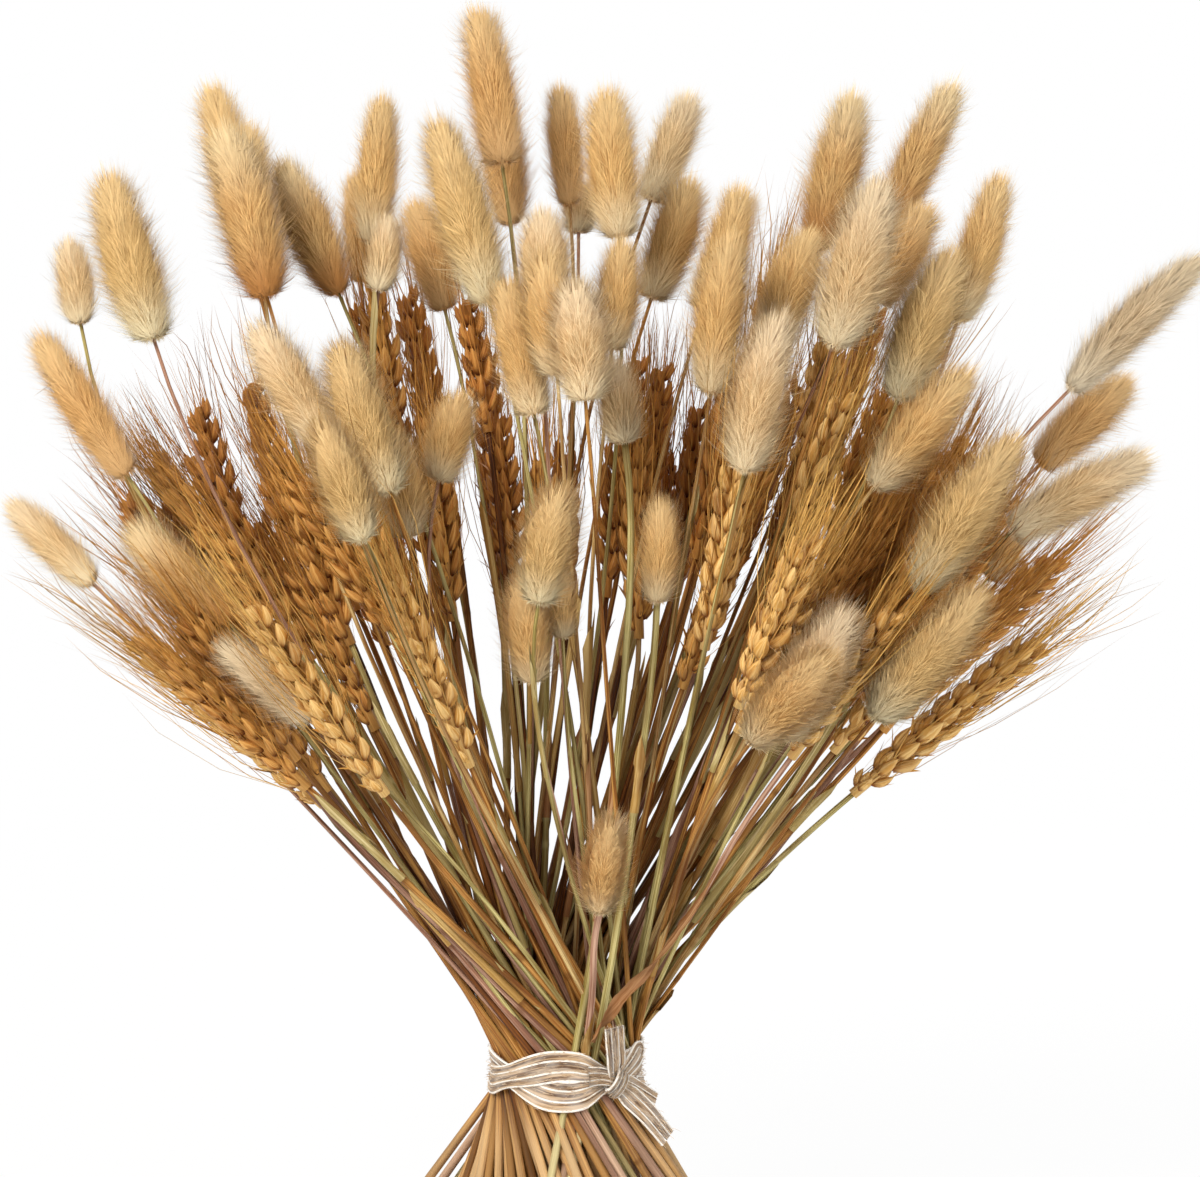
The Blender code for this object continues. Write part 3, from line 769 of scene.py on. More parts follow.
class Nodes:
    """Adds nodes to one tree and links them."""

    def __init__(self, tree: bpy.types.NodeTree) -> None:
        """Takes the tree to build in."""
        self.tree = tree

    def add(self, kind: str, **settings: object) -> bpy.types.Node:
        """Adds a node and sets its properties."""
        node = self.tree.nodes.new(f"ShaderNode{kind}")
        for name, value in settings.items():
            setattr(node, name, value)
        return node

    def put(self, socket: bpy.types.NodeSocket, value: object) -> None:
        """Gives an input a value, or links it where the value is an output."""
        if isinstance(value, bpy.types.NodeSocket):
            self.tree.links.new(value, socket)
        else:
            socket.default_value = value

    def feed(self, node: bpy.types.Node, *first: object, **named: object) -> bpy.types.Node:
        """Feeds a node's first inputs, and others by name, where an underscore stands for a space.

        Args:
            node: the node.
            first: values or outputs for its first inputs, in order.
            named: values or outputs by the names of their inputs.

        Returns:
            The node.
        """
        for socket, value in zip(node.inputs, first):
            self.put(socket, value)
        for name, value in named.items():
            self.put(node.inputs[name.replace("_", " ")], value)
        return node

    def mark(self, name: str) -> bpy.types.NodeSocket:
        """One of the numbers that a piece's points carry."""
        return self.add("Attribute", attribute_name=name).outputs["Fac"]

    def grain(self) -> bpy.types.NodeSocket:
        """The place of a point in the lengthwise space."""
        return self.add("Attribute", attribute_name="grain").outputs["Vector"]

    def math(self, kind: str, first: object, second: object) -> bpy.types.NodeSocket:
        """One step of arithmetic, held between 0 and 1."""
        return self.feed(self.add("Math", operation=kind, use_clamp=True), first, second).outputs[0]

    def span(
        self, value: object, low: float, high: float, start: float = 0.0, end: float = 1.0
    ) -> bpy.types.NodeSocket:
        """A value's way from low to high, as a smooth number from start to end."""
        node = self.add("MapRange", interpolation_type="SMOOTHSTEP")
        self.feed(node, Value=value, From_Min=low, From_Max=high, To_Min=start, To_Max=end)
        return node.outputs["Result"]

    def mix(self, share: object, low: object, high: object) -> bpy.types.NodeSocket:
        """A mix of two colours.

        Args:
            share: of the second.
            low: the first colour.
            high: the second colour.

        Returns:
            The mixed colour.
        """
        node = self.add("Mix", data_type="RGBA")
        for number, value in ((0, share), (6, low), (7, high)):
            self.put(node.inputs[number], value)
        return node.outputs[2]

    def noise(
        self, place: object, scale: object, detail: float = 2.0, roughness: float = 0.5
    ) -> bpy.types.NodeSocket:
        """Soft noise at a place."""
        node = self.feed(self.add("TexNoise"), Vector=place, Scale=scale, Detail=detail, Roughness=roughness)
        return node.outputs["Fac"]

    def group(self, tree: bpy.types.NodeTree, **values: object) -> bpy.types.Node:
        """Places a node group and feeds it."""
        return self.feed(self.add("Group", node_tree=tree), **values)

    def seen(self) -> bpy.types.NodeSocket:
        """Whether a ray comes from the eye, in a mirror or through glass too, rather than from a surface."""
        rays = self.add("LightPath").outputs
        seen = self.math("MAXIMUM", rays["Is Camera Ray"], rays["Is Glossy Ray"])
        return self.math("MAXIMUM", seen, rays["Is Transmission Ray"])


class Effect:
    """A node group, with its inputs and outputs by name."""

    def __init__(self, name: str, inputs: dict[str, str], outputs: dict[str, str]) -> None:
        """Makes an empty group.

        Args:
            name: the group's name.
            inputs: each input's name and its kind, Float, Color or Vector.
            outputs: the same for the outputs.
        """
        self.tree = bpy.data.node_groups.new(name, "ShaderNodeTree")
        for way, sockets in (("INPUT", inputs), ("OUTPUT", outputs)):
            for label, kind in sockets.items():
                self.tree.interface.new_socket(label, in_out=way, socket_type=f"NodeSocket{kind}")
        self.nodes = Nodes(self.tree)
        self.inner = self.tree.nodes.new("NodeGroupInput").outputs
        self.outer = self.tree.nodes.new("NodeGroupOutput").inputs

    def give(self, **values: bpy.types.NodeSocket) -> bpy.types.NodeTree:
        """Links the group's outputs and hands the finished group over."""
        for name, value in values.items():
            self.tree.links.new(value, self.outer[name])
        return self.tree


def strand_tint() -> bpy.types.NodeTree:
    """The colour of one hair, awn or fibre: from root to tip, each a little lighter or darker than the next.

    Returns:
        The node group.
    """
    made = Effect(
        "strand tint",
        {
            "Root": "Color",
            "Tip": "Color",
            "Dark": "Color",
            "Along": "Float",
            "Shade": "Float",
            "Dark Share": "Float",
        },
        {"Colour": "Color"},
    )
    nodes, inner = made.nodes, made.inner
    fade = nodes.math("POWER", inner["Along"], 0.8)
    plain = nodes.mix(fade, inner["Root"], inner["Tip"])
    # Brighter with the shade mark: random on awns and fibres, but on fur it also carries painted light and
    # shade.
    lift = nodes.span(inner["Shade"], 0.0, 1.0, 0.8, 1.12)
    lit = nodes.feed(nodes.add("VectorMath", operation="SCALE"), plain, Scale=lift)
    dark = nodes.math("MULTIPLY", nodes.math("LESS_THAN", inner["Shade"], inner["Dark Share"]), 0.5)
    return made.give(Colour=nodes.mix(dark, lit.outputs[0], inner["Dark"]))


def lengthwise_grain() -> bpy.types.NodeTree:
    """Fine lines that run along a stem, a husk or a ribbon, with patches that come and go along it.

    Returns:
        The node group.
    """
    made = Effect(
        "lengthwise grain",
        {"Grain": "Vector", "Fineness": "Float", "Patch Size": "Float"},
        {"Lines": "Float", "Patches": "Float", "Relief": "Float"},
    )
    nodes, inner = made.nodes, made.inner
    drawn = nodes.feed(nodes.add("VectorMath", operation="MULTIPLY"), inner["Grain"], DRAWN_OUT)
    fine = nodes.noise(drawn.outputs[0], inner["Fineness"], 4.0, 0.68)
    patches = nodes.noise(inner["Grain"], inner["Patch Size"])
    return made.give(Lines=nodes.span(fine, 0.4, 0.6), Patches=nodes.span(patches, 0.35, 0.65), Relief=fine)


@dataclass(frozen=True)
class Finish:
    """What every finish has: a name and a way to start its material."""

    name: str

    def start(self) -> tuple[bpy.types.Material, Nodes, bpy.types.Node]:
        """Makes the material.

        Returns:
            The material, its nodes and its shader.
        """
        made = bpy.data.materials.new(self.name)
        made.use_nodes = True
        return made, Nodes(made.node_tree), made.node_tree.nodes["Principled BSDF"]

    def lined(
        self,
        nodes: Nodes,
        shader: bpy.types.Node,
        lines: bpy.types.Node,
        rough: tuple,
        strength: float,
        depth: float,
    ) -> None:
        """Gives a surface the roughness and the relief of its lines.

        Args:
            nodes: of the material.
            shader: that they feed.
            lines: the placed lengthwise grain.
            rough: how rough it is between its lines and on them.
            strength: of the relief, from 0 to 1.
            depth: of the relief, in metres.
        """
        height = lines.outputs["Relief"]
        bump = nodes.feed(nodes.add("Bump"), Strength=strength, Distance=depth, Height=height)
        rough = nodes.span(lines.outputs["Lines"], 0.0, 1.0, *rough)
        nodes.feed(shader, Roughness=rough, Normal=bump.outputs["Normal"])


@dataclass(frozen=True)
class StrandFinish(Finish):
    """What hairs, awns and fibres share: one colour at the root and one at the tip, with a few dark ones."""

    root: str
    tip: str

    def strand(
        self, nodes: Nodes, tint: bpy.types.NodeTree, dark: str, dark_share: float
    ) -> bpy.types.NodeSocket:
        """The colour along each strand.

        Args:
            nodes: of the material.
            tint: the strand tint group.
            dark: the colour that the dark strands turn to.
            dark_share: how many are dark.

        Returns:
            The colour.
        """
        tones = {"Root": colour(self.root), "Tip": colour(self.tip), "Dark": colour(dark)}
        marks = {"Along": nodes.mark("along"), "Shade": nodes.mark("shade")}
        return nodes.group(tint, **tones, **marks, Dark_Share=dark_share).outputs["Colour"]


@dataclass(frozen=True)
class FurFinish(StrandFinish):
    """The soft hair of a bunny tail, whose foot and crown may differ from its middle."""

    foot: str
    crown: str
    dark: str = "#8F6434"
    dark_share: float = 0.04
    foot_share: float = 0.88
    crown_share: float = 0.6
    sheen: str = "#F8EBD2"

    def make(self, tint: bpy.types.NodeTree) -> bpy.types.Material:
        """Makes the material.

        Args:
            tint: the strand tint group.

        Returns:
            The material.
        """
        made, nodes, shader = self.start()
        hair = self.strand(nodes, tint, self.dark, self.dark_share)
        rank = nodes.mark("rank")
        low = nodes.span(rank, 0.04, 0.42, self.foot_share, 0.0)
        low = nodes.math("MULTIPLY", low, nodes.span(nodes.mark("along"), -0.3, 0.9))
        foot = nodes.mix(low, hair, colour(self.foot))
        high = nodes.span(rank, 0.5, 0.98, 0.0, self.crown_share)
        nodes.feed(
            shader,
            Base_Color=nodes.mix(high, foot, colour(self.crown)),
            Roughness=nodes.span(nodes.mark("shade"), 0.0, 1.0, 0.55, 0.75),
            Specular_IOR_Level=0.25,
            Sheen_Weight=0.5,
            Sheen_Roughness=0.35,
            Sheen_Tint=colour(self.sheen),
        )
        return made


@dataclass(frozen=True)
class AwnFinish(StrandFinish):
    """The stiff bristles of wheat."""

    dark: str
    dark_share: float = 0.22

    def make(self, tint: bpy.types.NodeTree) -> bpy.types.Material:
        """Makes the material.

        Args:
            tint: the strand tint group.

        Returns:
            The material.
        """
        made, nodes, shader = self.start()
        hair = self.strand(nodes, tint, self.dark, self.dark_share)
        rough = nodes.span(nodes.mark("shade"), 0.0, 1.0, 0.45, 0.65)
        nodes.feed(shader, Base_Color=hair, Roughness=rough, Specular_IOR_Level=DRY_SHINE)
        return made


@dataclass(frozen=True)
class HuskFinish(Finish):
    """The plump husks of an ear of wheat: pale ridges, and painted shade that darkens each husk's foot, where
    the husks overlap.
    """

    body: str
    ridge: str
    # the colour at each husk's foot, painted shade where the husks overlap; the random patches darken towards
    # it too
    foot: str

    def make(self, grain: bpy.types.NodeTree) -> bpy.types.Material:
        """Makes the material.

        Args:
            grain: the lengthwise grain group.

        Returns:
            The material.
        """
        made, nodes, shader = self.start()
        along, shade = nodes.mark("along"), nodes.mark("shade")
        lines = nodes.group(grain, Grain=nodes.grain(), Fineness=2.6, Patch_Size=0.9)
        husk = nodes.mix(lines.outputs["Lines"], colour(self.body), colour(self.ridge))
        # Painted shade: each husk darkens towards its foot, where the husk beside it overlaps it.
        dark = nodes.span(along, 0.0, 0.42, 0.95, 0.0)
        husk = nodes.mix(dark, husk, colour(self.foot))
        worn = nodes.math("MULTIPLY", nodes.span(shade, 0.3, 1.0, 0.0, 0.6), lines.outputs["Patches"])
        husk = nodes.mix(worn, husk, colour(self.foot))
        tip = nodes.span(along, 0.7, 1.0, 0.0, 0.5)
        nodes.feed(shader, Base_Color=nodes.mix(tip, husk, colour(self.ridge)), Specular_IOR_Level=DRY_SHINE)
        self.lined(nodes, shader, lines, (0.42, 0.64), 0.5, 0.0004)
        return made


@dataclass(frozen=True)
class StrawFinish(Finish):
    """A dry stem: fine lines along it, stains in patches, and a swollen joint here and there."""

    body: str
    line: str
    stain: str
    joint: str
    foot: str  # the stem's colour towards its cut end

    def make(self, grain: bpy.types.NodeTree) -> bpy.types.Material:
        """Makes the material.

        Args:
            grain: the lengthwise grain group.

        Returns:
            The material.
        """
        made, nodes, shader = self.start()
        lines = nodes.group(grain, Grain=nodes.grain(), Fineness=2.6, Patch_Size=0.3)
        straw = nodes.mix(lines.outputs["Lines"], colour(self.body), colour(self.line))
        straw = nodes.mix(nodes.math("MULTIPLY", lines.outputs["Patches"], 0.7), straw, colour(self.stain))
        low = nodes.span(nodes.mark("along"), 0.3, 0.48, 0.85, 0.0)
        low = nodes.math("MULTIPLY", low, nodes.mark("shade"))
        straw = nodes.mix(low, straw, colour(self.foot))
        joint = nodes.span(nodes.mark("rank"), 0.2, 0.9, 0.0, 0.7)
        straw = nodes.mix(joint, straw, colour(self.joint))
        nodes.feed(shader, Base_Color=straw, Specular_IOR_Level=DRY_SHINE)
        self.lined(nodes, shader, lines, (0.46, 0.66), 0.6, 0.0004)
        return made


@dataclass(frozen=True)
class RibbonFinish(Finish):
    """Woven jute: brown strands side by side with white ones, each with its own fibres."""

    jute: str
    jute_dark: str
    white: str
    yarns: tuple[float, ...]  # where each starts across the ribbon, and where the last ends
    white_yarns: tuple[int, ...]
    white_dull: str = "#DCD0BC"  # between the white fibres

    def make(self, grain: bpy.types.NodeTree) -> bpy.types.Material:
        """Makes the material.

        Args:
            grain: the lengthwise grain group.

        Returns:
            The material.
        """
        made, nodes, shader = self.start()
        lines = nodes.group(grain, Grain=nodes.grain(), Fineness=4.2, Patch_Size=1.6)
        jute = nodes.mix(lines.outputs["Lines"], colour(self.jute_dark), colour(self.jute))
        jute = nodes.mix(nodes.math("MULTIPLY", lines.outputs["Patches"], 0.22), jute, colour(self.white))
        ramp = nodes.add("ValToRGB")
        ramp.color_ramp.interpolation = "CONSTANT"
        stops = ramp.color_ramp.elements
        stops[1].position = self.yarns[-2]
        for start in self.yarns[1:-2]:
            stops.new(start)
        for yarn, stop in enumerate(stops):
            level = 1.0 if yarn in self.white_yarns else 0.0
            stop.color = (level, level, level, 1.0)
        nodes.feed(ramp, Fac=nodes.mark("rank"))
        dull = nodes.math("MULTIPLY", lines.outputs["Lines"], 0.2)
        white = nodes.mix(dull, colour(self.white), colour(self.white_dull))
        woven = nodes.mix(ramp.outputs["Color"], jute, white)
        nodes.feed(shader, Base_Color=woven, Sheen_Weight=0.3, Sheen_Roughness=0.5)
        self.lined(nodes, shader, lines, (0.8, 0.95), 0.9, 0.0006)
        return made


# Each fur's root colour is darker than its tip partly as painted shade deep in the fur, where the hairs shade
# each other.
FUR = {
    FurTone.CREAM: FurFinish("fur_cream", "#B47E3A", "#F2D7A6", "#F3E4C0", "#F8E8CA"),
    FurTone.GOLD: FurFinish("fur_gold", "#AE7229", "#F0CA88", "#F0DFB8", "#F3D8A4"),
    FurTone.AMBER: FurFinish("fur_amber", "#9E6421", "#E8BC7C", "#DEB680", "#F0D4A0"),
    FurTone.RUSSET_FOOT: FurFinish(
        "fur_russet_foot", "#A06626", "#E8C080", "#B27232", "#F4E0B4", crown_share=0.75
    ),
    FurTone.GREEN_FOOT: FurFinish("fur_green_foot", "#A67A38", "#ECCA8C", "#E8DFBC", "#EFD29E"),
    FurTone.GREY: FurFinish("fur_grey", "#A07C4A", "#EAD2AC", "#EADCC0", "#ECDCBC"),
}
# The brown husks and awns are darker partly by their own colour and partly as painted shade at the back of
# the fan.
HUSKS = {
    WheatTone.GOLD: HuskFinish("husk_gold", "#CF9A4C", "#EFCB88", "#7A380C"),
    WheatTone.AMBER: HuskFinish("husk_amber", "#BC7E3A", "#E0AE64", "#602A0A"),
    WheatTone.BROWN: HuskFinish("husk_brown_and_painted_shade", "#A6672C", "#D0964E", "#552408"),
}
AWNS = {
    WheatTone.GOLD: AwnFinish("awn_gold", "#E8BC70", "#D0A254", "#A87030"),
    WheatTone.AMBER: AwnFinish("awn_amber", "#DFA756", "#C08C46", "#8E5420"),
    WheatTone.BROWN: AwnFinish("awn_brown_and_painted_shade", "#D0924A", "#AC7636", "#7C4416"),
}
STRAW = {
    StrawTone.STRAW: StrawFinish("straw_pale", "#A67838", "#E6CC92", "#70421A", "#8E6A36", "#EAD4A8"),
    StrawTone.OLIVE: StrawFinish("straw_olive", "#928240", "#D5CA8E", "#684C22", "#A89866", "#DED0A2"),
    StrawTone.TAN: StrawFinish("straw_tan", "#8A521A", "#CC9A54", "#4C2406", "#6C441C", "#E2C292"),
    StrawTone.ROSE: StrawFinish("straw_rose", "#90624A", "#CEA890", "#5A3424", "#765036", "#CDB094"),
    # Umber stems are dark partly by their own colour and partly as painted shade at the back of the fan.
    StrawTone.UMBER_AND_SHADE: StrawFinish("straw_umber_and_painted_shade", "#4C2406", "#8C5420", "#280E00", "#6A4826", "#B48850"),
}
FRONT_STRAW = {29: StrawTone.ROSE, 27: StrawTone.OLIVE, 69: StrawTone.OLIVE}
LEAVES = (
    StrawFinish("leaf_pale", "#A89458", "#DCCE9C", "#8A7038", "#A08C54", "#A89458"),
    StrawFinish("leaf_straw", "#A8803E", "#DDBF80", "#80582A", "#90693A", "#A8803E"),
    StrawFinish("leaf_russet", "#8A5A32", "#C09468", "#66401F", "#7A4830", "#8A5A32"),
)
YARNS = (0.0, 0.07, 0.18, 0.29, 0.35, 0.45, 0.55, 0.65, 0.71, 0.82, 0.93, 1.0)
RIBBON = RibbonFinish("jute_and_white", "#CBAB86", "#5C3D20", "#FFFCF6", YARNS, (0, 3, 7, 10))


@dataclass
class Grown:
    """A part of one stalk, which adds itself to the stalk's mesh."""

    bunch: Bunch
    index: int
    shape: Shape
    rng: np.random.Generator

    def __post_init__(self) -> None:
        """Looks up the stalk: where its head starts, which way that points and how large it is."""
        self.kind, self.row = self.bunch.stalks[self.index]
        self.foot = np.array([*self.bunch.neck[self.index], self.bunch.up[self.index]])
        self.aim = self.bunch.aim[self.index]
        self.length = float(self.bunch.length[self.index])
        self.girth = float(self.bunch.girth[self.index])


@dataclass
class Stem(Grown):
    """A dry stem from its cut end to where its head starts, with joints, remains of leaves and loose bits."""

    straw: bpy.types.Material
    leaf: bpy.types.Material
    sides: int = 8
    sway: float = 0.8  # how far the stem strays from its line, mm
    joint_length: float = 2.4
    joint_swell: float = 1.13
    low_joint: float = 0.3  # how many stems have a joint below the ribbon
    sheaths: int = 2  # at most, of the leaves that the stem had
    sheath_share: float = 0.7  # how many of those are left
    sheath_length: tuple = (0.08, 0.38)  # from and to, as a share of the stem
    sheath_net: tuple = (8, 7)  # points along a sheath and round it
    flakes: int = 3  # at most, of loose bits
    flake_length: tuple = (4.0, 9.0)  # from and to, mm

    def build(self) -> None:
        """Adds the stem to the stalk's mesh."""
        joints = np.sort(self.rng.uniform(0.08, 0.75, 1 if self.kind is BUNNY_TAIL else 2))
        if self.rng.random() < self.low_joint:
            joints = np.concatenate([[-self.rng.uniform(0.2, 0.8)], joints])
        step = self.joint_length / (self.foot[2] - TIE_HEIGHT)
        near = (joints[:, None] + np.array([-1.2, -0.5, 0.0, 0.5, 1.2]) * step).ravel()
        shares = np.unique(np.concatenate([np.linspace(-1, 0, 4), np.linspace(0, 1, 12), near]))
        path = self.line(shares)
        swell = np.exp(-(((shares[:, None] - joints[None, :]) / (0.6 * step)) ** 2)).max(axis=1)
        radii = self.radius(path[:, 2]) * (1.0 + (self.joint_swell - 1.0) * swell)
        marks = triples(shares.shape, (shares + 1) / 2, swell, self.rng.random())
        self.shape.tube(path, radii, self.sides, self.straw, marks)
        for joint in joints[-int(self.rng.integers(1, self.sheaths + 1)) :]:
            if self.rng.random() < self.sheath_share:
                self.sheath(max(float(joint), 0.05))
        for _ in range(int(self.rng.integers(0, self.flakes + 1))):
            self.flake(float(self.rng.uniform(0.05, 0.8)))

    def radius(self, height: np.ndarray) -> np.ndarray:
        """The stem's radius at each height."""
        foot, neck = self.kind.foot_radius, self.kind.neck_radius
        if self.index in FRONT_STALKS:
            foot, neck = np.multiply((foot, neck), FRONT_STOUT)
        return foot + (neck - foot) * height / self.foot[2]

    def line(self, shares: np.ndarray) -> np.ndarray:
        """The stem's middle, which strays a little between the tie and the head, always the same way."""
        path = self.bunch.stem_path(self.index, shares)
        turn = 2 * math.pi * (self.index * GOLDEN % 1.0)
        stray = np.sin(math.pi * np.clip(shares, 0, 1)) * np.sin(2.2 * math.pi * shares + turn)
        return path + self.sway * stray[:, None] * (math.cos(turn), math.sin(turn), 0.0)

    def sheath(self, start: float) -> None:
        """Adds a leaf's sheath, which wraps most of the stem above a joint and frays at its end.

        Args:
            start: share of the stem at which it starts.
        """
        rows, columns = self.sheath_net
        long = self.rng.uniform(*self.sheath_length)
        path = self.line(np.linspace(start, min(start + long, 0.97), rows))
        heading = unit(np.gradient(path, axis=0))
        aside = unit(np.cross(heading, NOWHERE_ALONG))
        turns = self.rng.uniform(0.0, 2 * math.pi) + np.linspace(0.0, 1.35 * math.pi, columns)
        flare = np.linspace(0.0, 1.0, rows) ** 4 * self.rng.uniform(0.2, 1.6)
        radii = self.radius(path[:, 2])[:, None] + 0.3 + flare[:, None] * np.linspace(0.2, 1.0, columns)
        ring = swung(turns[None], aside[:, None], np.cross(aside, heading)[:, None])
        points = path[:, None] + ring * radii[..., None]
        frayed = 9.0 - 15.0 * np.abs(np.linspace(-1.0, 1.0, columns)) + self.rng.normal(0, 1.0, columns)
        points[-1] += heading[-1] * frayed[:, None]
        marks = triples(self.sheath_net, np.linspace(0, 1, rows)[:, None], 0.0, self.rng.random())
        lie = triples(self.sheath_net, np.cos(turns), np.sin(turns), np.arange(rows)[:, None] * 0.6)
        self.shape.add(points, net(rows, columns), self.leaf, marks, grain=lie + GRAIN_APART * marks[..., 2:])

    def flake(self, start: float) -> None:
        """Adds a loose sliver that peels away from the stem.

        Args:
            start: share of the stem at which it starts.
        """
        place = self.line(np.array([start, start + 0.01]))
        heading = unit(place[1] - place[0])
        turn = self.rng.uniform(0, 2 * math.pi)
        away = unit(np.array([math.cos(turn), math.sin(turn), 0.0]))
        long = self.rng.uniform(*self.flake_length)
        steps = np.linspace(0.0, 1.0, 5)
        peeled = steps**1.7 * long * self.rng.uniform(0.15, 0.4) + 0.8
        lines = place[0] + heading * (steps * long)[:, None] + away * peeled[:, None]
        widths = np.array([[1.1, 1.0, 0.8, 0.5]]) * self.rng.uniform(0.7, 1.2)
        marks = triples((1, 5), steps, 0.0, self.rng.random())
        self.shape.strands(lines[None], widths, away[None], self.leaf, marks)


class Coat(NamedTuple):
    """One layer of a bunny tail's hairs."""

    dense: float  # hairs to a square millimetre of the head's side
    reach: float  # how far out their tips are, as a share of the head's radius
    spread: float  # how much that varies
    thick: float  # how wide a hair is at its root, mm
    bends: int  # how many straight parts a hair has
    # The paler start of the outer coats is painted light: a glow as if lit through the fringe.
    pale: float  # how pale it starts, from 0 for the root's colour to 1 for the tip's


@dataclass
class FurryHead(Grown):
    """An oval head of a bunny tail: a close core under long silky hairs that sweep up to the tip."""

    fur: bpy.types.Material
    # The outer coats start paler: a painted glow of light through the fringe.
    coats: tuple = (
        Coat(3.1, 1.05, 0.06, 0.28, 1, 0.0),
        Coat(2.9, 1.2, 0.1, 0.21, 1, 0.3),
        Coat(0.85, 1.45, 0.18, 0.18, 2, 0.75),
    )
    least_girth: float = 20.0  # that a head is taken to have when its hairs are counted, mm
    hair_run: float = 8.5  # how far up the head a hair reaches, mm
    # Where hairs start, as a share of the head's radius, for tips that lie this far along it
    root_depth: tuple = ((0.75, 1.05), (0.62, 0.32))
    core_share: float = 0.76
    curve: float = 0.09  # how far the head may curve, as a share of its length
    tufts: tuple = (7, 11)  # round the head, in which hairs draw together

    def __post_init__(self) -> None:
        """Works out the head's own axes, its curve and its outline."""
        super().__post_init__()
        self.aside = unit(np.cross(self.aim, (0.0, 1.0, 0.0)))
        self.back = np.cross(self.aside, self.aim)
        self.sag = self.rng.uniform(-1, 1) * self.curve * self.length * self.aside
        shares = (-0.05, -0.02, 0.02, 0.07, 0.13, 0.21, 0.31, 0.42, 0.6, 0.76, 0.88, 0.96, 1.02, 1.06)
        sizes = (0.12, 0.32, 0.5, 0.66, 0.79, 0.9, 0.97, 1.0, 0.98, 0.94, 0.84, 0.72, 0.54, 0.32)
        self.outline = (shares, np.array(sizes) ** self.rng.uniform(0.7, 1.25))
        self.turn = self.rng.uniform(0.0, 2 * math.pi, 4)

    def middle(self, shares: np.ndarray) -> np.ndarray:
        """Points on the head's axis."""
        shares = np.asarray(shares)[..., None]
        return self.foot + self.aim * shares * self.length + self.sag * shares * (shares - 1.0) * -1.0

    def radius(self, shares: np.ndarray) -> np.ndarray:
        """The head's radius at these shares of its length."""
        lumps = 1.0 + 0.05 * np.sin(5.0 * shares + self.turn[3]) * np.sin(math.pi * np.clip(shares, 0.0, 1.0))
        return np.interp(shares, *self.outline) * lumps * self.girth / 2

    def build(self) -> None:
        """Adds the head to the stalk's mesh."""
        shares = np.array([0.0, 0.03, 0.1, 0.22, 0.42, 0.6, 0.72, 0.81, 0.87, 0.91])
        taper = np.interp(shares, (0.0, 0.03, 0.6, 0.81, 0.91), (0.5, 0.8, 1.0, 0.7, 0.1))
        radii = self.radius(shares) * self.core_share * taper
        # The core takes a colour near the hairs' roots, dark partly as painted shade deep in the fur.
        self.shape.tube(self.middle(shares), radii, 12, self.fur, triples(shares.shape, 0.3, shares, 0.5))
        for coat in self.coats:
            self.comb(coat)

    def comb(self, coat: Coat) -> None:
        """Adds one layer of hairs, which draw together into soft tufts.

        Args:
            coat: the layer.
        """
        many = int(coat.dense * self.length * max(self.girth, self.least_girth))
        tips = self.tip_shares(many)
        run = self.hair_run / self.length * self.rng.uniform(0.65, 1.2, many)
        roots = np.clip(tips - run, 0.0, 0.95) + 0.03 * self.rng.random(many)
        bearing = self.rng.uniform(0.0, 2 * math.pi, many)
        few, more = self.tufts
        wave = few * bearing + 9.0 * tips + self.turn[0]
        swirl = np.sin(wave) + np.sin(more * bearing - 13.0 * tips + self.turn[1])
        lift = np.cos(wave) + np.sin(5 * bearing + 16.0 * tips + self.turn[2])
        far = self.radius(tips) * (self.rng.normal(coat.reach, coat.spread, many) + 0.014 * lift)
        out = self.outward(bearing)
        far = far * np.where(tips > 1.0, self.rng.random(many) ** 0.4, 1.0)
        root = self.middle(roots) + out * (self.radius(roots) * np.interp(tips, *self.root_depth))[:, None]
        turned = self.outward(bearing + 0.035 * swirl + self.rng.normal(0, 0.12, many))
        tip = self.middle(tips + 0.04 * self.rng.normal(size=many) * (tips > 0.75)) + turned * far[:, None]
        points, along = [root, tip], np.array([0.0, 1.0])
        width = (coat.thick * self.rng.uniform(0.7, 1.2, many))[:, None]
        if coat.bends == 2:
            long = np.linalg.norm(tip - root, axis=1)
            points.insert(1, root + 0.55 * (tip - root) + out * (0.1 * long)[:, None])
            along = np.array([0.0, 0.6, 1.0])
            width = width * (1.0, 0.75)
        rank = roots[:, None] + (tips - roots)[:, None] * along
        # Painted light and shade: the outer coats start paler, as if lit through the fringe, and hairs that
        # the tufts lift out are lighter, those between tufts darker.
        shades = 0.5 + 0.25 * coat.pale + 0.08 * lift + self.rng.normal(0, 0.15, many)
        shades = np.clip(shades, 0.0, 1.0)[:, None]
        marks = triples(rank.shape, coat.pale + (1.0 - coat.pale) * along, rank, shades)
        look = unit(out + 0.5 * self.aim + self.rng.normal(0, 0.14, (many, 3)))
        self.shape.strands(np.stack(points, axis=1), width, out, self.fur, marks, look)

    def tip_shares(self, many: int) -> np.ndarray:
        """Where the hairs' tips lie along the head, more of them where it is wide.

        Args:
            many: how many hairs.

        Returns:
            A share of the head's length for each.
        """
        grid = np.linspace(-0.04, 1.05, 200)
        weight = self.radius(grid) + self.girth * np.where(grid > 0.92, 0.26, 0.12)
        total = np.cumsum(weight)
        return np.interp(self.rng.random(many), total / total[-1], grid)

    def outward(self, bearing: np.ndarray) -> np.ndarray:
        """Which way is out from the axis at each bearing."""
        return swung(bearing, self.aside, self.back)


class Seats(NamedTuple):
    """Where the husks of an ear sit, a row to each."""

    start: np.ndarray
    way: np.ndarray  # that a husk points
    out: np.ndarray  # that its back faces
    scale: np.ndarray
    share: np.ndarray  # of the ear that is below it


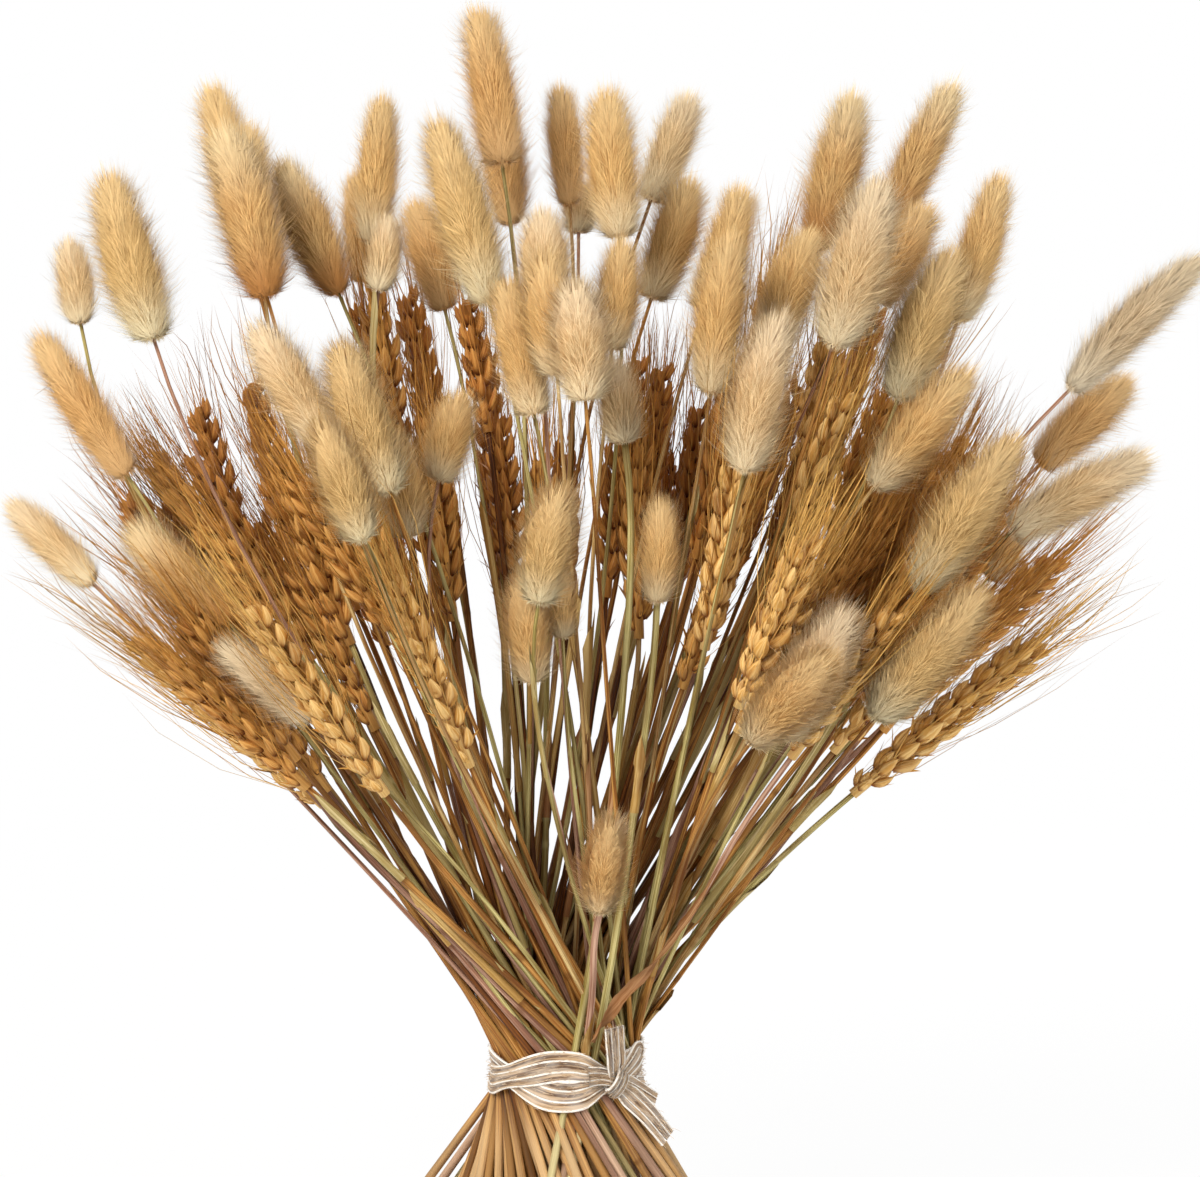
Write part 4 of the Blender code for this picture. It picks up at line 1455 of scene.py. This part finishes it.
@dataclass
class WheatSpike(Grown):
    """An ear of bearded wheat: two ranks of spikelets up a thin stalk, each of three husks with long awns."""

    husk: bpy.types.Material
    awn: bpy.types.Material
    ear_share: float = 0.63  # of the head's length that the husks take up
    full_girth: float = 14.0  # of an ear with husks of full size, mm
    spacing: float = 4.5  # between spikelets, mm
    husk_size: tuple = (12.4, 5.5, 4.7)  # length, width and thickness, mm, and those of a leaner ear
    lean_husk: tuple = (13.2, 4.7, 4.1)
    husk_outline: tuple = ((0.0, 0.1, 0.3, 0.52, 0.74, 0.9, 1.0), (0.3, 0.68, 0.97, 1.0, 0.72, 0.34, 0.05))
    husk_sides: int = 6
    husk_keel: float = 0.9  # how far its back bulges, mm
    husk_fan: float = 0.32  # radians that a spikelet's outer husks turn aside
    husk_lean: float = 0.23  # radians that a spikelet leans out from the ear
    awn_width: float = 0.4
    awn_splay: float = 0.07
    awn_length: tuple = (16.0, 74.0)  # at least and at most, mm
    scale_size: tuple = (9.5, 2.1)  # of the papery scales round the husks: length and width
    awns_each: int = 3  # to a husk, and two less in the brown ears

    def build(self) -> None:
        """Adds the ear to the stalk's mesh."""
        if self.row.tone is not WheatTone.GOLD:
            self.husk_size = self.lean_husk
        if self.row.tone is WheatTone.BROWN:
            self.awns_each -= 2
        ear = self.length * self.ear_share
        turn = self.rng.uniform(-0.9, 0.9)
        aside = unit(np.cross(self.aim, (math.sin(turn), math.cos(turn), 0.0)))
        path = self.foot + self.aim * np.linspace(-1.0, ear, 6)[:, None]
        marks = np.array([0.9, 0.0, self.rng.random()])
        self.shape.tube(path, np.linspace(2.0, 1.2, 6), 6, self.husk, marks)
        seats = self.seats(ear, aside)
        self.husks(seats)
        self.scales(seats)
        for number in range(self.awns_each):
            self.awns(seats, 0.9 - 0.28 * number)

    def seats(self, ear: float, aside: np.ndarray) -> Seats:
        """Works out where the husks sit, three to a spikelet, with the spikelets on either side by turns.

        Args:
            ear: the length that they take up.
            aside: the direction of the first side.

        Returns:
            Their seats.
        """
        face = np.cross(aside, self.aim)
        count = int(ear / self.spacing)
        rise = (np.arange(count) + 0.3) * self.spacing
        share = rise / ear
        size = self.girth / self.full_girth
        grown = size * np.interp(share, (0.0, 0.12, 0.3, 0.75, 1.0), (0.6, 0.85, 1.0, 0.92, 0.62))
        side = np.where(np.arange(count) % 2 == 0, 1.0, -1.0)
        rows = []
        for fan, up, lean, scale in ((1.0, 0.0, 1.0, 1.0), (-1.0, 0.4, 1.0, 1.0), (0.0, 1.8, 1.3, 0.86)):
            bend = self.husk_lean * lean * side + self.rng.normal(0, 0.05, count)
            open_ = self.husk_fan * fan + self.rng.normal(0, 0.06, count)
            way = unit(self.aim + np.tan(bend)[:, None] * aside + np.tan(open_)[:, None] * face)
            out = unit(side[:, None] * aside + 0.9 * fan * face)
            out = unit(out - (out * way).sum(1)[:, None] * way)
            start = self.foot + self.aim * (rise + up)[:, None]
            start = start + aside * (0.9 * side)[:, None] + face * (1.1 * fan)
            rows.append((start, way, out, grown * scale * self.rng.uniform(0.92, 1.08, count), share))
        return Seats(*(np.concatenate(column) for column in zip(*rows)))

    def husks(self, seats: Seats) -> None:
        """Adds the husks, each a plump pointed oval with a keel.

        Args:
            seats: where they sit.
        """
        long, wide, thick = self.husk_size
        steps, swell = np.array(self.husk_outline)
        turns = np.linspace(0.0, 2 * math.pi, self.husk_sides, endpoint=False)
        x = swell[:, None] * np.cos(turns + 0.5) * wide / 2
        keel = self.husk_keel * np.sin(math.pi * steps)[:, None]
        y = swell[:, None] * np.sin(turns + 0.5) * thick / 2 + keel
        local = triples(x.shape, x, y, steps[:, None] * long).reshape(-1, 3)
        across = np.cross(seats.way, seats.out)
        axes = np.stack([across, seats.out, seats.way], axis=1) * seats.scale[:, None, None]
        each, many = len(local), len(seats.start)
        walls = net(len(steps), self.husk_sides, True)[:, [0, 3, 2, 1]]
        faces = (walls[None] + np.arange(many)[:, None, None] * each).reshape(-1, 4)
        shades = self.rng.random(many)[:, None]
        marks = triples((many, each), np.repeat(steps, self.husk_sides), seats.share[:, None], shades)
        apart = np.cos(turns) + GRAIN_APART * shades[..., None]
        lie = triples((many, *x.shape), apart, np.sin(turns), steps[:, None])
        self.shape.add(seats.start[:, None] + local @ axes, faces, self.husk, marks, grain=lie)

    def scales(self, seats: Seats) -> None:
        """Adds the papery scales that stand off the husks.

        Args:
            seats: where the husks sit.
        """
        start, way, out, scale, _ = seats
        many = len(start)
        long, wide = self.scale_size
        turned = unit(out + np.cross(way, out) * self.rng.normal(0, 0.8, many)[:, None])
        heading = unit(way + turned * self.rng.uniform(0.1, 0.42, many)[:, None])
        reach = long * scale * self.rng.uniform(0.7, 1.15, many)
        curl = turned * (self.rng.uniform(-0.12, 0.2, many) * reach)[:, None]
        foot = start + turned * (1.9 * scale)[:, None] + way * (self.rng.uniform(0.0, 3.0, many))[:, None]
        steps = np.array(STRAND_STEPS)
        lines = foot[:, None] + (heading * reach[:, None])[:, None] * steps[:, None]
        lines = lines + curl[:, None] * (steps**2)[:, None]
        marks = triples((many, len(steps)), steps, 0.0, self.rng.random(many)[:, None])
        self.shape.strands(lines, (wide * scale)[:, None] * (0.6, 1.0, 0.7), turned, self.awn, marks)

    def awns(self, seats: Seats, high: float) -> None:
        """Adds an awn to each husk.

        Args:
            seats: where the husks sit.
            high: how far up its husk each awn starts, as a share of the husk.
        """
        _, way, out, scale, _ = seats
        many = len(way)
        start = seats.start + way * (self.husk_size[0] * scale * high)[:, None]
        reach = self.length * self.rng.uniform(0.82, 1.04, many) - (start - self.foot) @ self.aim
        long = np.clip(reach, *self.awn_length) * np.where(self.rng.random(many) < 0.3, 0.55, 1.0)
        lean = way - self.aim * (way @ self.aim)[:, None]
        spread = lean * self.rng.uniform(0.0, 0.5, many)[:, None]
        heading = unit(self.aim + spread + self.rng.normal(0, self.awn_splay, (many, 3)))
        long = long * inside_box(start, start + heading * long[:, None])
        bend = self.rng.normal(0, 0.055, (many, 3)) * long[:, None]
        tip = start + heading * long[:, None]
        steps = np.array(STRAND_STEPS)
        lines = start[:, None] + (tip - start)[:, None] * steps[:, None]
        lines = lines + bend[:, None] * np.sin(math.pi * steps)[:, None]
        width = (self.awn_width * self.rng.uniform(0.75, 1.2, many))[:, None] * (1.0, 0.95, 0.7)
        marks = triples((many, len(steps)), steps, 0.0, self.rng.random(many)[:, None])
        facing = unit(out + self.rng.normal(0, 0.5, (many, 3)))
        look = unit(out + self.rng.normal(0, 0.25, (many, 3)))
        self.shape.strands(lines, width, facing, self.awn, marks, look)


class LooseEnd(NamedTuple):
    """An end of the ribbon that leaves the knot."""

    places: tuple  # of its middle, from the knot: to the right along the ribbon, out and up
    turn: float  # how far its broad side turns sideways towards its tip
    widths: tuple  # shares of its length, then how wide it is there
    shade: float
    count: int = 22


# Two that hang to the right, one that stands up and a fold beside it
LOOSE_ENDS = (
    LooseEnd(
        ((1, 0.5, -2), (5, 2.6, -6), (11, 4.4, -12), (15, 5.4, -17), (19, 6.0, -22)),
        0.35,
        ((0, 0.25, 1), (5.0, 8.6, 8.2)),
        0.31,
    ),
    LooseEnd(
        ((1, 0, 0), (5, 1.2, -2), (10, 1.8, -5), (16, 2.6, -9)),
        0.7,
        ((0, 0.3, 1), (4.5, 7.5, 7.0)),
        0.67,
    ),
    LooseEnd(
        ((0, 0.4, 1), (-1.2, 3.4, 7), (-3.4, 5.8, 14), (-4.6, 7.0, 20)),
        -0.2,
        ((0, 0.3, 1), (4.6, 7.6, 7.4)),
        0.12,
    ),
    LooseEnd(
        (
            (1, 0, 0),
            (3.6, 2.2, 3.2),
            (6.4, 3.6, 7.2),
            (8.6, 3.2, 10.4),
            (9.2, 1.4, 9.4),
            (7.6, 0.2, 5.0),
            (4.2, -0.6, 1.0),
        ),
        0.5,
        ((0, 0.3, 0.7, 1), (4.2, 7.2, 7.2, 4.2)),
        0.92,
        30,
    ),
)


@dataclass
class Ribbon:
    """The jute ribbon: two wraps round the waist, a knot at the front right and the ends that leave it."""

    bunch: Bunch
    finish: bpy.types.Material
    rng: np.random.Generator
    width: float = 11.0
    thickness: float = 0.9
    rib: float = 0.4  # how far each yarn stands out, mm
    knot_bearing: float = -56.0  # degrees round the tie, from the right towards the front
    knot_out: float = 4.0
    core: tuple = ((-9, -2.4, 1.5), (-5, -0.6, 1.8), (-1, 1.4, 0.6), (3, 1.0, -2.5), (6, 0.0, -6))
    # Shares of a turn from the knot, and how far above the tie's middle each wrap is there
    wrap_turns: tuple = (0.0, 0.155, 0.405, 0.6, 0.69, 0.785, 0.87, 0.93, 1.0)
    wraps: tuple = (
        (-0.8, -5.0, -4.8, 1.0, 4.0, -0.4, -5.6, -6.0, -0.8),
        (0.8, 4.6, 4.4, 0.0, -3.6, 0.6, 4.9, 5.0, 0.8),
    )
    steps: int = 120  # round the waist
    fuzz: int = 5200
    fuzz_length: float = 3.6
    fuzz_width: float = 0.14

    def __post_init__(self) -> None:
        """Sets the knot's place and its own axes."""
        self.bearing = math.radians(self.knot_bearing)
        self.out = np.array([math.cos(self.bearing), math.sin(self.bearing), 0.0])
        self.aside = np.array([-math.sin(self.bearing), math.cos(self.bearing), 0.0])
        self.upward = np.array([0.0, 0.0, 1.0])
        reach = float(self.bunch.reach_round(TIE_HEIGHT, np.array([self.bearing]))[0])
        self.place = self.out * (reach + GAP + self.knot_out) + TIE_HEIGHT * self.upward
        self.shape = Shape("jute_ribbon")
        self.surface: list[tuple[np.ndarray, np.ndarray, np.ndarray]] = []
        self.length = 0.0

    def strip(
        self, path: np.ndarray, look: np.ndarray, widths: np.ndarray, ridge: float, shade: float
    ) -> None:
        """Adds a length of ribbon with its strands.

        Args:
            path: its middle line.
            look: which way its broad side faces at each point.
            widths: how wide it is at each point, less than flat where it is gathered.
            ridge: how much its strands stand out, more where it is gathered.
            shade: sets its fibres apart from another length's.
        """
        heading = unit(np.gradient(path, axis=0))
        across = unit(np.cross(look, heading))
        look = np.cross(heading, across)
        across_at, height = self.profile(ridge)
        points = path[:, None] + across[:, None] * (across_at[None, :, None] - 0.5) * widths[:, None, None]
        points = points + look[:, None] * height[None, :, None]
        many, each = size = points.shape[:2]
        lengths = way_along(path)
        marks = triples(size, (lengths / lengths[-1])[:, None], np.clip(across_at, 0.001, 0.998), shade)
        apart = across_at * 3.0 + GRAIN_APART * shade
        lie = triples(size, apart, np.sign(height) * 0.5, lengths[:, None] / GRAIN_LENGTH)
        self.shape.add(points, net(many, each, True), self.finish, marks, grain=lie)
        column = np.arange(each // 2 - 1)
        cap = np.stack([column, column + 1, each - column - 2, each - column - 1], axis=1)
        first = self.shape.count - many * each
        self.shape.join(cap, self.finish, first)
        self.shape.join(cap[:, ::-1], self.finish, first + (many - 1) * each)
        self.length += float(lengths[-1])
        faced = look[:, None] * np.sign(height + 1e-9)[None, :, None]
        self.surface.append((points.reshape(-1, 3), faced.reshape(-1, 3), np.repeat(heading, each, axis=0)))

    def profile(self, ridge: float) -> tuple[np.ndarray, np.ndarray]:
        """The ribbon's cross-section, round its strands.

        Args:
            ridge: how much the strands stand out.

        Returns:
            The place across, from 0 to 1, and the height of each point round the section.
        """
        starts = np.array(YARNS)
        top_at = np.sort(np.concatenate([starts, (starts[:-1] + starts[1:]) / 2]))
        crest = np.where(np.arange(len(top_at)) % 2 == 1, 1.0, 0.0)
        half = self.thickness / 2
        top = half + self.rib * ridge * (crest - 0.5)
        top[0] = top[-1] = 0.25 * half
        return np.concatenate([top_at, top_at[::-1]]), np.concatenate([top, -top[::-1]])

    def build(self) -> bpy.types.Object:
        """Makes the ribbon.

        Returns:
            The piece.
        """
        for number, heights in enumerate(self.wraps):
            self.wrap(heights, number)
        self.knot()
        for end in LOOSE_ENDS:
            self.end(end)
        made = self.shape.make()
        return made

    def wrap(self, heights: tuple, number: int) -> None:
        """Adds one wrap round the waist.

        Args:
            heights: of its middle above the tie, at each of the wrap's turns.
            number: which wrap it is; the second lies on the first.
        """
        shares = np.linspace(0.0, 1.0, self.steps)
        turns = self.bearing + 2 * math.pi * shares
        height = TIE_HEIGHT + evened(np.interp(shares, self.wrap_turns, heights), 8)
        gather = np.clip((np.cos(turns - self.bearing) - 0.92) / 0.08, 0.0, 1.0) ** 1.5
        half = self.width / 2
        low, high = self.drawn_round(turns, height - half), self.drawn_round(turns, height + half)
        reach = np.maximum((low + high) / 2, self.drawn_round(turns, height)) + 0.3 + self.thickness / 2
        lap = np.exp(-(((shares - 0.78) / 0.11) ** 4)) + gather
        reach = evened(reach + number * self.thickness * np.minimum(lap, 1.0), 6)
        path = np.stack([reach * np.cos(turns), reach * np.sin(turns), height], axis=1)
        look = np.stack([np.cos(turns), np.sin(turns), evened((low - high) / self.width, 8)], axis=1)
        pinch = 0.2 * np.exp(-(((shares - 0.765) / 0.05) ** 2))
        widths = self.width * (1.0 - 0.5 * gather - pinch) * (1.0 - 0.05 * np.cos(5 * turns))
        self.strip(path, unit(look), widths, 1.0 + gather.mean(), 0.2 + 0.3 * number)

    def drawn_round(self, turns: np.ndarray, heights: np.ndarray) -> np.ndarray:
        """How far out a thread drawn round the stems lies at each bearing, at a height of its own."""
        levels = TIE_HEIGHT + np.arange(-14.0, 15.0, 2.0)
        table = np.array([self.bunch.reach_round(level, turns) for level in levels])
        return np.array([np.interp(height, levels, table[:, place]) for place, height in enumerate(heights)])

    def smooth(self, places: tuple, count: int = 22) -> np.ndarray:
        """A smooth line through a few places, each given from the knot."""
        return self.place + through(places, count, 4) @ np.stack([self.aside, self.out, self.upward])

    def knot(self) -> None:
        """Adds the knot: a gathered core that slants down to the right and a loop drawn tight over it."""
        core = self.smooth(self.core)
        look = np.tile(self.out, (len(core), 1))
        widths = np.interp(np.linspace(0, 1, len(core)), (0, 0.5, 1), (7.5, 5.2, 6.5))
        self.strip(core, look, widths, 1.9, 0.83)
        slant = unit(self.aside - 0.75 * self.upward)
        over = np.cross(self.out, slant)
        turns = np.linspace(-0.15 * math.pi, 1.25 * math.pi, 26)
        middle = self.place + 0.4 * self.out + 1.0 * slant
        loop = middle + np.sin(turns)[:, None] * self.out * 3.0 + np.cos(turns)[:, None] * over * 4.4
        loop = loop + slant * np.linspace(-1.2, 1.2, len(turns))[:, None]
        face = np.sin(turns)[:, None] * self.out + 0.7 * np.cos(turns)[:, None] * over
        self.strip(loop, face, np.full(len(turns), 5.0), 1.8, 0.57)

    def end(self, end: LooseEnd) -> None:
        """Adds one loose end, whose broad side faces out and turns a little sideways towards its tip.

        Args:
            end: its line and its widths.
        """
        share = np.linspace(0.0, 1.0, end.count)
        look = unit(self.out + end.turn * share[:, None] * self.aside)
        self.strip(self.smooth(end.places, end.count), look, np.interp(share, *end.widths), 1.2, end.shade)

    def fibres(self, fibre: bpy.types.Material) -> bpy.types.Object:
        """Makes the loose fibres that stand out of the jute.

        Args:
            fibre: their material.

        Returns:
            The piece.
        """
        shape = Shape("ribbon_fibres")
        points, look, heading = (np.concatenate(part) for part in zip(*self.surface))
        chosen = self.rng.integers(0, len(points), self.fuzz)
        root, out, way = points[chosen], look[chosen], heading[chosen]
        side = unit(self.rng.normal(0, 1, (self.fuzz, 3)))
        long = self.rng.uniform(0.45, 1.0, self.fuzz)[:, None] ** 2 * self.fuzz_length
        lift = out * self.rng.uniform(0.15, 0.8, self.fuzz)[:, None]
        tip = root + (way * self.rng.choice((-1.0, 1.0), self.fuzz)[:, None] + lift + 0.5 * side) * long * 0.7
        middle = (root + tip) / 2 + out * 0.18 * long
        marks = triples((self.fuzz, 3), (0.0, 0.5, 1.0), 0.0, self.rng.random(self.fuzz)[:, None])
        widths = np.full((self.fuzz, 2), self.fuzz_width)
        shape.strands(np.stack([root, middle, tip], axis=1), widths, unit(out + 0.6 * side), fibre, marks)
        made = shape.make()
        return made


@dataclass
class LeafStrip:
    """A long dry leaf that curls up out of the waist beside the knot."""

    finish: bpy.types.Material
    rng: np.random.Generator
    points: tuple = (
        (9.0, -28.5, 84.0),
        (11.0, -31.0, 90.0),
        (17.0, -32.0, 97.0),
        (24.0, -33.0, 105.0),
        (32.0, -33.0, 115.0),
        (44.0, -34.0, 131.0),
        (53.0, -36.0, 146.0),
    )
    width: float = 4.8
    steps: int = 40
    columns: int = 6
    ragged: float = 0.12  # how far its edges stray, mm

    def build(self) -> bpy.types.Object:
        """Makes the leaf.

        Returns:
            The piece.
        """
        size = (self.steps, self.columns)
        path = through(self.points, self.steps, 3)
        heading = unit(np.gradient(path, axis=0))
        share = np.linspace(0.0, 1.0, self.steps)
        turn = 1.3 * np.sin(9.0 * share + 0.6) + 2.0 * share
        base = unit(np.cross(heading, (0.0, -1.0, 0.2)))
        across = swung(turn, base, np.cross(heading, base))
        look = np.cross(across, heading)
        wide = self.width * np.interp(share, (0, 0.15, 0.5, 0.85, 1), (0.45, 1.0, 0.9, 0.5, 0.08))
        places = np.linspace(-0.5, 0.5, self.columns)
        cup = (places**2 * 1.8)[None, :, None] * look[:, None] * wide[:, None, None] * 0.6
        ragged = self.rng.normal(0, self.ragged, (*size, 1)) * across[:, None]
        points = path[:, None] + across[:, None] * places[None, :, None] * wide[:, None, None] + cup + ragged
        marks = triples(size, share[:, None], 0.0, 0.4)
        lie = triples(size, places * 2.0, 0.0, share[:, None] * 6.0)
        shape = Shape("dry_leaf")
        shape.add(points, net(*size), self.finish, marks, grain=lie)
        made = shape.make()
        return made


@dataclass
class Studio:
    """A plain white studio: floor, soft lamps and the camera."""

    distance: float = 1.6
    elevation: float = 4.0  # degrees
    view_width: float = 0.4286  # of what the camera sees at that distance, m
    look_height: float = 0.2427
    sensor: float = 36.0
    floor_side: float = 12.0
    floor_glow: float = 0.93  # share of plain white in what the camera sees of the floor near the bunch
    world_glow: float = 0.47  # how strongly the world lights the bunch

    def build(self) -> None:
        """Makes the floor, the lamps, the world and the camera."""
        self.floor()
        self.world_light()
        self.lamp("key_lamp", (-1.1, -1.5, 1.5), 1.1, 46.0, "#FFF8EE")
        self.lamp("fill_lamp", (1.6, -1.2, 0.8), 1.4, 13.0, "#FFFFFF")
        self.lamp("rim_lamp", (0.4, 1.5, 1.2), 1.2, 16.0, "#FFFFFF")
        self.camera()

    def camera(self) -> None:
        """Makes the camera."""
        made = bpy.data.cameras.new("camera")
        made.sensor_width = self.sensor
        made.lens = self.sensor * self.distance / self.view_width
        holder = linked("camera", made)
        slope = math.radians(self.elevation)
        target = (0.0, TIE_BACK * MM, self.look_height)
        holder.location = (
            target[0],
            target[1] - self.distance * math.cos(slope),
            target[2] + self.distance * math.sin(slope),
        )
        holder.rotation_euler = (math.pi / 2 - slope, 0.0, 0.0)
        bpy.context.scene.camera = holder

    def lamp(self, name: str, place: tuple, side: float, power: float, tint: str) -> None:
        """Makes one square soft lamp that looks at the bunch.

        Args:
            name: the lamp's name.
            place: where it hangs.
            side: how wide it is.
            power: in watts.
            tint: its colour.
        """
        light = bpy.data.lights.new(name, "AREA")
        light.shape = "SQUARE"
        light.size = side
        light.energy = power
        light.color = colour(tint)[:3]
        holder = linked(name, light)
        holder.location = place
        toward = np.array([0.0, 0.0, self.look_height]) - np.array(place)
        holder.rotation_euler = (
            math.atan2(math.hypot(toward[0], toward[1]), -toward[2]),
            0.0,
            math.atan2(toward[1], toward[0]) - math.pi / 2,
        )

    def world_light(self) -> None:
        """Lights everything softly from all round, in front of a white background."""
        made = bpy.data.worlds.new("studio")
        bpy.context.scene.world = made
        made.use_nodes = True
        nodes = Nodes(made.node_tree)
        strength = nodes.feed(nodes.add("MapRange"), Value=nodes.seen(), To_Min=self.world_glow, To_Max=1.0)
        nodes.feed(made.node_tree.nodes["Background"], Color=WHITE, Strength=strength.outputs["Result"])

    def floor(self) -> None:
        """Makes the pale floor, which keeps the bunch's shadow."""
        mesh = bpy.data.meshes.new("floor")
        half = self.floor_side / 2
        corners = [(-half, -half, 0), (half, -half, 0), (half, half, 0), (-half, half, 0)]
        mesh.from_pydata(corners, [], [(0, 1, 2, 3)])
        made = linked("floor", mesh)
        paint = bpy.data.materials.new("floor_white")
        paint.use_nodes = True
        nodes = Nodes(paint.node_tree)
        shader = paint.node_tree.nodes["Principled BSDF"]
        nodes.feed(shader, Base_Color=(0.86, 0.86, 0.86, 1.0), Roughness=0.9)
        glow = nodes.feed(nodes.add("Emission"), Color=WHITE)
        place = nodes.add("NewGeometry").outputs["Position"]
        away = nodes.feed(nodes.add("VectorMath", operation="LENGTH"), place)
        glow_share = nodes.span(away.outputs["Value"], 0.3, 1.6, self.floor_glow, 1.0)
        share = nodes.math("MULTIPLY", nodes.seen(), glow_share)
        mixed = nodes.feed(nodes.add("MixShader"), share, shader.outputs[0], glow.outputs[0])
        nodes.feed(paint.node_tree.nodes["Material Output"], Surface=mixed.outputs[0])
        mesh.materials.append(paint)


class Bouquet:
    """The whole bunch: settles its stalks and makes every piece."""

    def __init__(self) -> None:
        """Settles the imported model's stalks first, then fits the others between them."""
        self.rng = np.random.default_rng(11)
        packed = [(BUNNY_TAIL, row) for row in BUNNY_TAILS] + [(WHEAT_EAR, row) for row in WHEAT_EARS]
        self.packed = Bunch(packed)
        self.packed.settle(ROUNDS)
        more = [(BUNNY_TAIL, row) for row in MORE_BUNNY_TAILS] + [(WHEAT_EAR, row) for row in MORE_WHEAT_EARS]
        more += [(WHEAT_EAR, row) for row in self.filler_ears()]
        self.bunch = Bunch(packed + more, self.packed)
        self.bunch.settle(MORE_ROUNDS)
        self.dress()

    def filler_ears(self) -> list[Stalk]:
        """Brown, amber and gold ears that fill the fan, the brown ones at the back darker partly as painted
        shade.

        Returns:
            The ears, which lean away from the waist.
        """
        made = []
        for count, *ranges, tone in FILLER_EARS:
            for _ in range(count):
                lean, far, ahead = (self.rng.uniform(low, high) for low, high in ranges)
                length, girth = self.rng.uniform(86.0, 106.0), self.rng.uniform(11.5, 13.5)
                across = TIE_ACROSS + (far - length) * math.sin(math.radians(lean))
                up = TIE_HEIGHT + (far - length) * math.cos(math.radians(lean))
                lean *= self.rng.uniform(0.85, 1.15)
                made.append(Stalk(across, up, ahead, lean, length, girth, tone))
        return made

    def dress(self) -> None:
        """Makes every material once."""
        tint, grain = strand_tint(), lengthwise_grain()
        self.fur = {tone: finish.make(tint) for tone, finish in FUR.items()}
        self.husks = {tone: finish.make(grain) for tone, finish in HUSKS.items()}
        self.awns = {tone: finish.make(tint) for tone, finish in AWNS.items()}
        self.straw = {tone: finish.make(grain) for tone, finish in STRAW.items()}
        self.leaves = [finish.make(grain) for finish in LEAVES]
        self.jute = RIBBON.make(grain)
        self.fibre = AwnFinish("jute_fibre", "#C8AA88", "#E6D6BE", "#8E6C4A").make(tint)

    def stalk(self, index: int, name: str, node: str | None) -> bpy.types.Object:
        """Makes one stalk.

        Args:
            index: its number in the bunch.
            name: its piece's name.
            node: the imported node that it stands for, or None.

        Returns:
            The piece.
        """
        kind, row = self.bunch.stalks[index]
        rng = np.random.default_rng(1000 + index)
        shape = Shape(name)
        if kind is BUNNY_TAIL:
            tones = (StrawTone.STRAW, StrawTone.OLIVE, StrawTone.OLIVE, StrawTone.TAN, StrawTone.ROSE)
        elif row.tone is WheatTone.BROWN:
            # Mostly umber stems for the brown ears: painted shade at the back, as well as their own dark
            # colour.
            tones = (StrawTone.UMBER_AND_SHADE, StrawTone.TAN, StrawTone.TAN)
        else:
            tones = (StrawTone.STRAW, StrawTone.TAN, StrawTone.TAN, StrawTone.OLIVE, StrawTone.ROSE)
        straw = self.straw[FRONT_STRAW.get(index, tones[int(rng.integers(len(tones)))])]
        leaf = self.leaves[int(rng.choice(3, p=(0.5, 0.35, 0.15)))]
        grown = (self.bunch, index, shape, rng)
        Stem(*grown, straw, leaf).build()
        if kind is BUNNY_TAIL:
            FurryHead(*grown, self.fur[row.tone]).build()
        else:
            WheatSpike(*grown, self.husks[row.tone], self.awns[row.tone]).build()
        made = shape.make()
        if node is not None:
            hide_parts(node)
        return made

    def build(self) -> None:
        """Makes every stalk, then the ribbon and the leaf beside it."""
        made = {BUNNY_TAIL.name: 0, WHEAT_EAR.name: 0}
        packed = len(self.packed.stalks)
        faces = 0
        for index, (kind, _) in enumerate(self.bunch.stalks):
            made[kind.name] += 1
            number = made[kind.name]
            word = "furry_head_stalk" if kind is BUNNY_TAIL else "wheat_stalk"
            node = f"{kind.name}_{number:02d}" if index < packed else None
            piece = self.stalk(index, f"{word}_{number:02d}", node)
            faces += sum(len(face.vertices) - 2 for face in piece.data.polygons)
        LOG.info("%d stalks with %d triangles", len(self.bunch.stalks), faces)
        ribbon = Ribbon(self.bunch, self.jute, self.rng)
        tied = ribbon.build()
        fibres = ribbon.fibres(self.fibre)
        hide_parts("ribbon_tie")
        LOG.info("the ribbon is %.0f mm long", ribbon.length)
        LeafStrip(self.leaves[2], self.rng).build()


def main() -> None:
    """Makes the studio and the bouquet, and writes how large it came out."""
    logging.basicConfig(level=logging.INFO, format="%(name)s: %(message)s")
    bpy.context.scene.view_settings.view_transform = "Standard"
    Studio().build()
    Bouquet().build()
    bpy.context.view_layer.update()


if __name__ == "__main__":
    main()
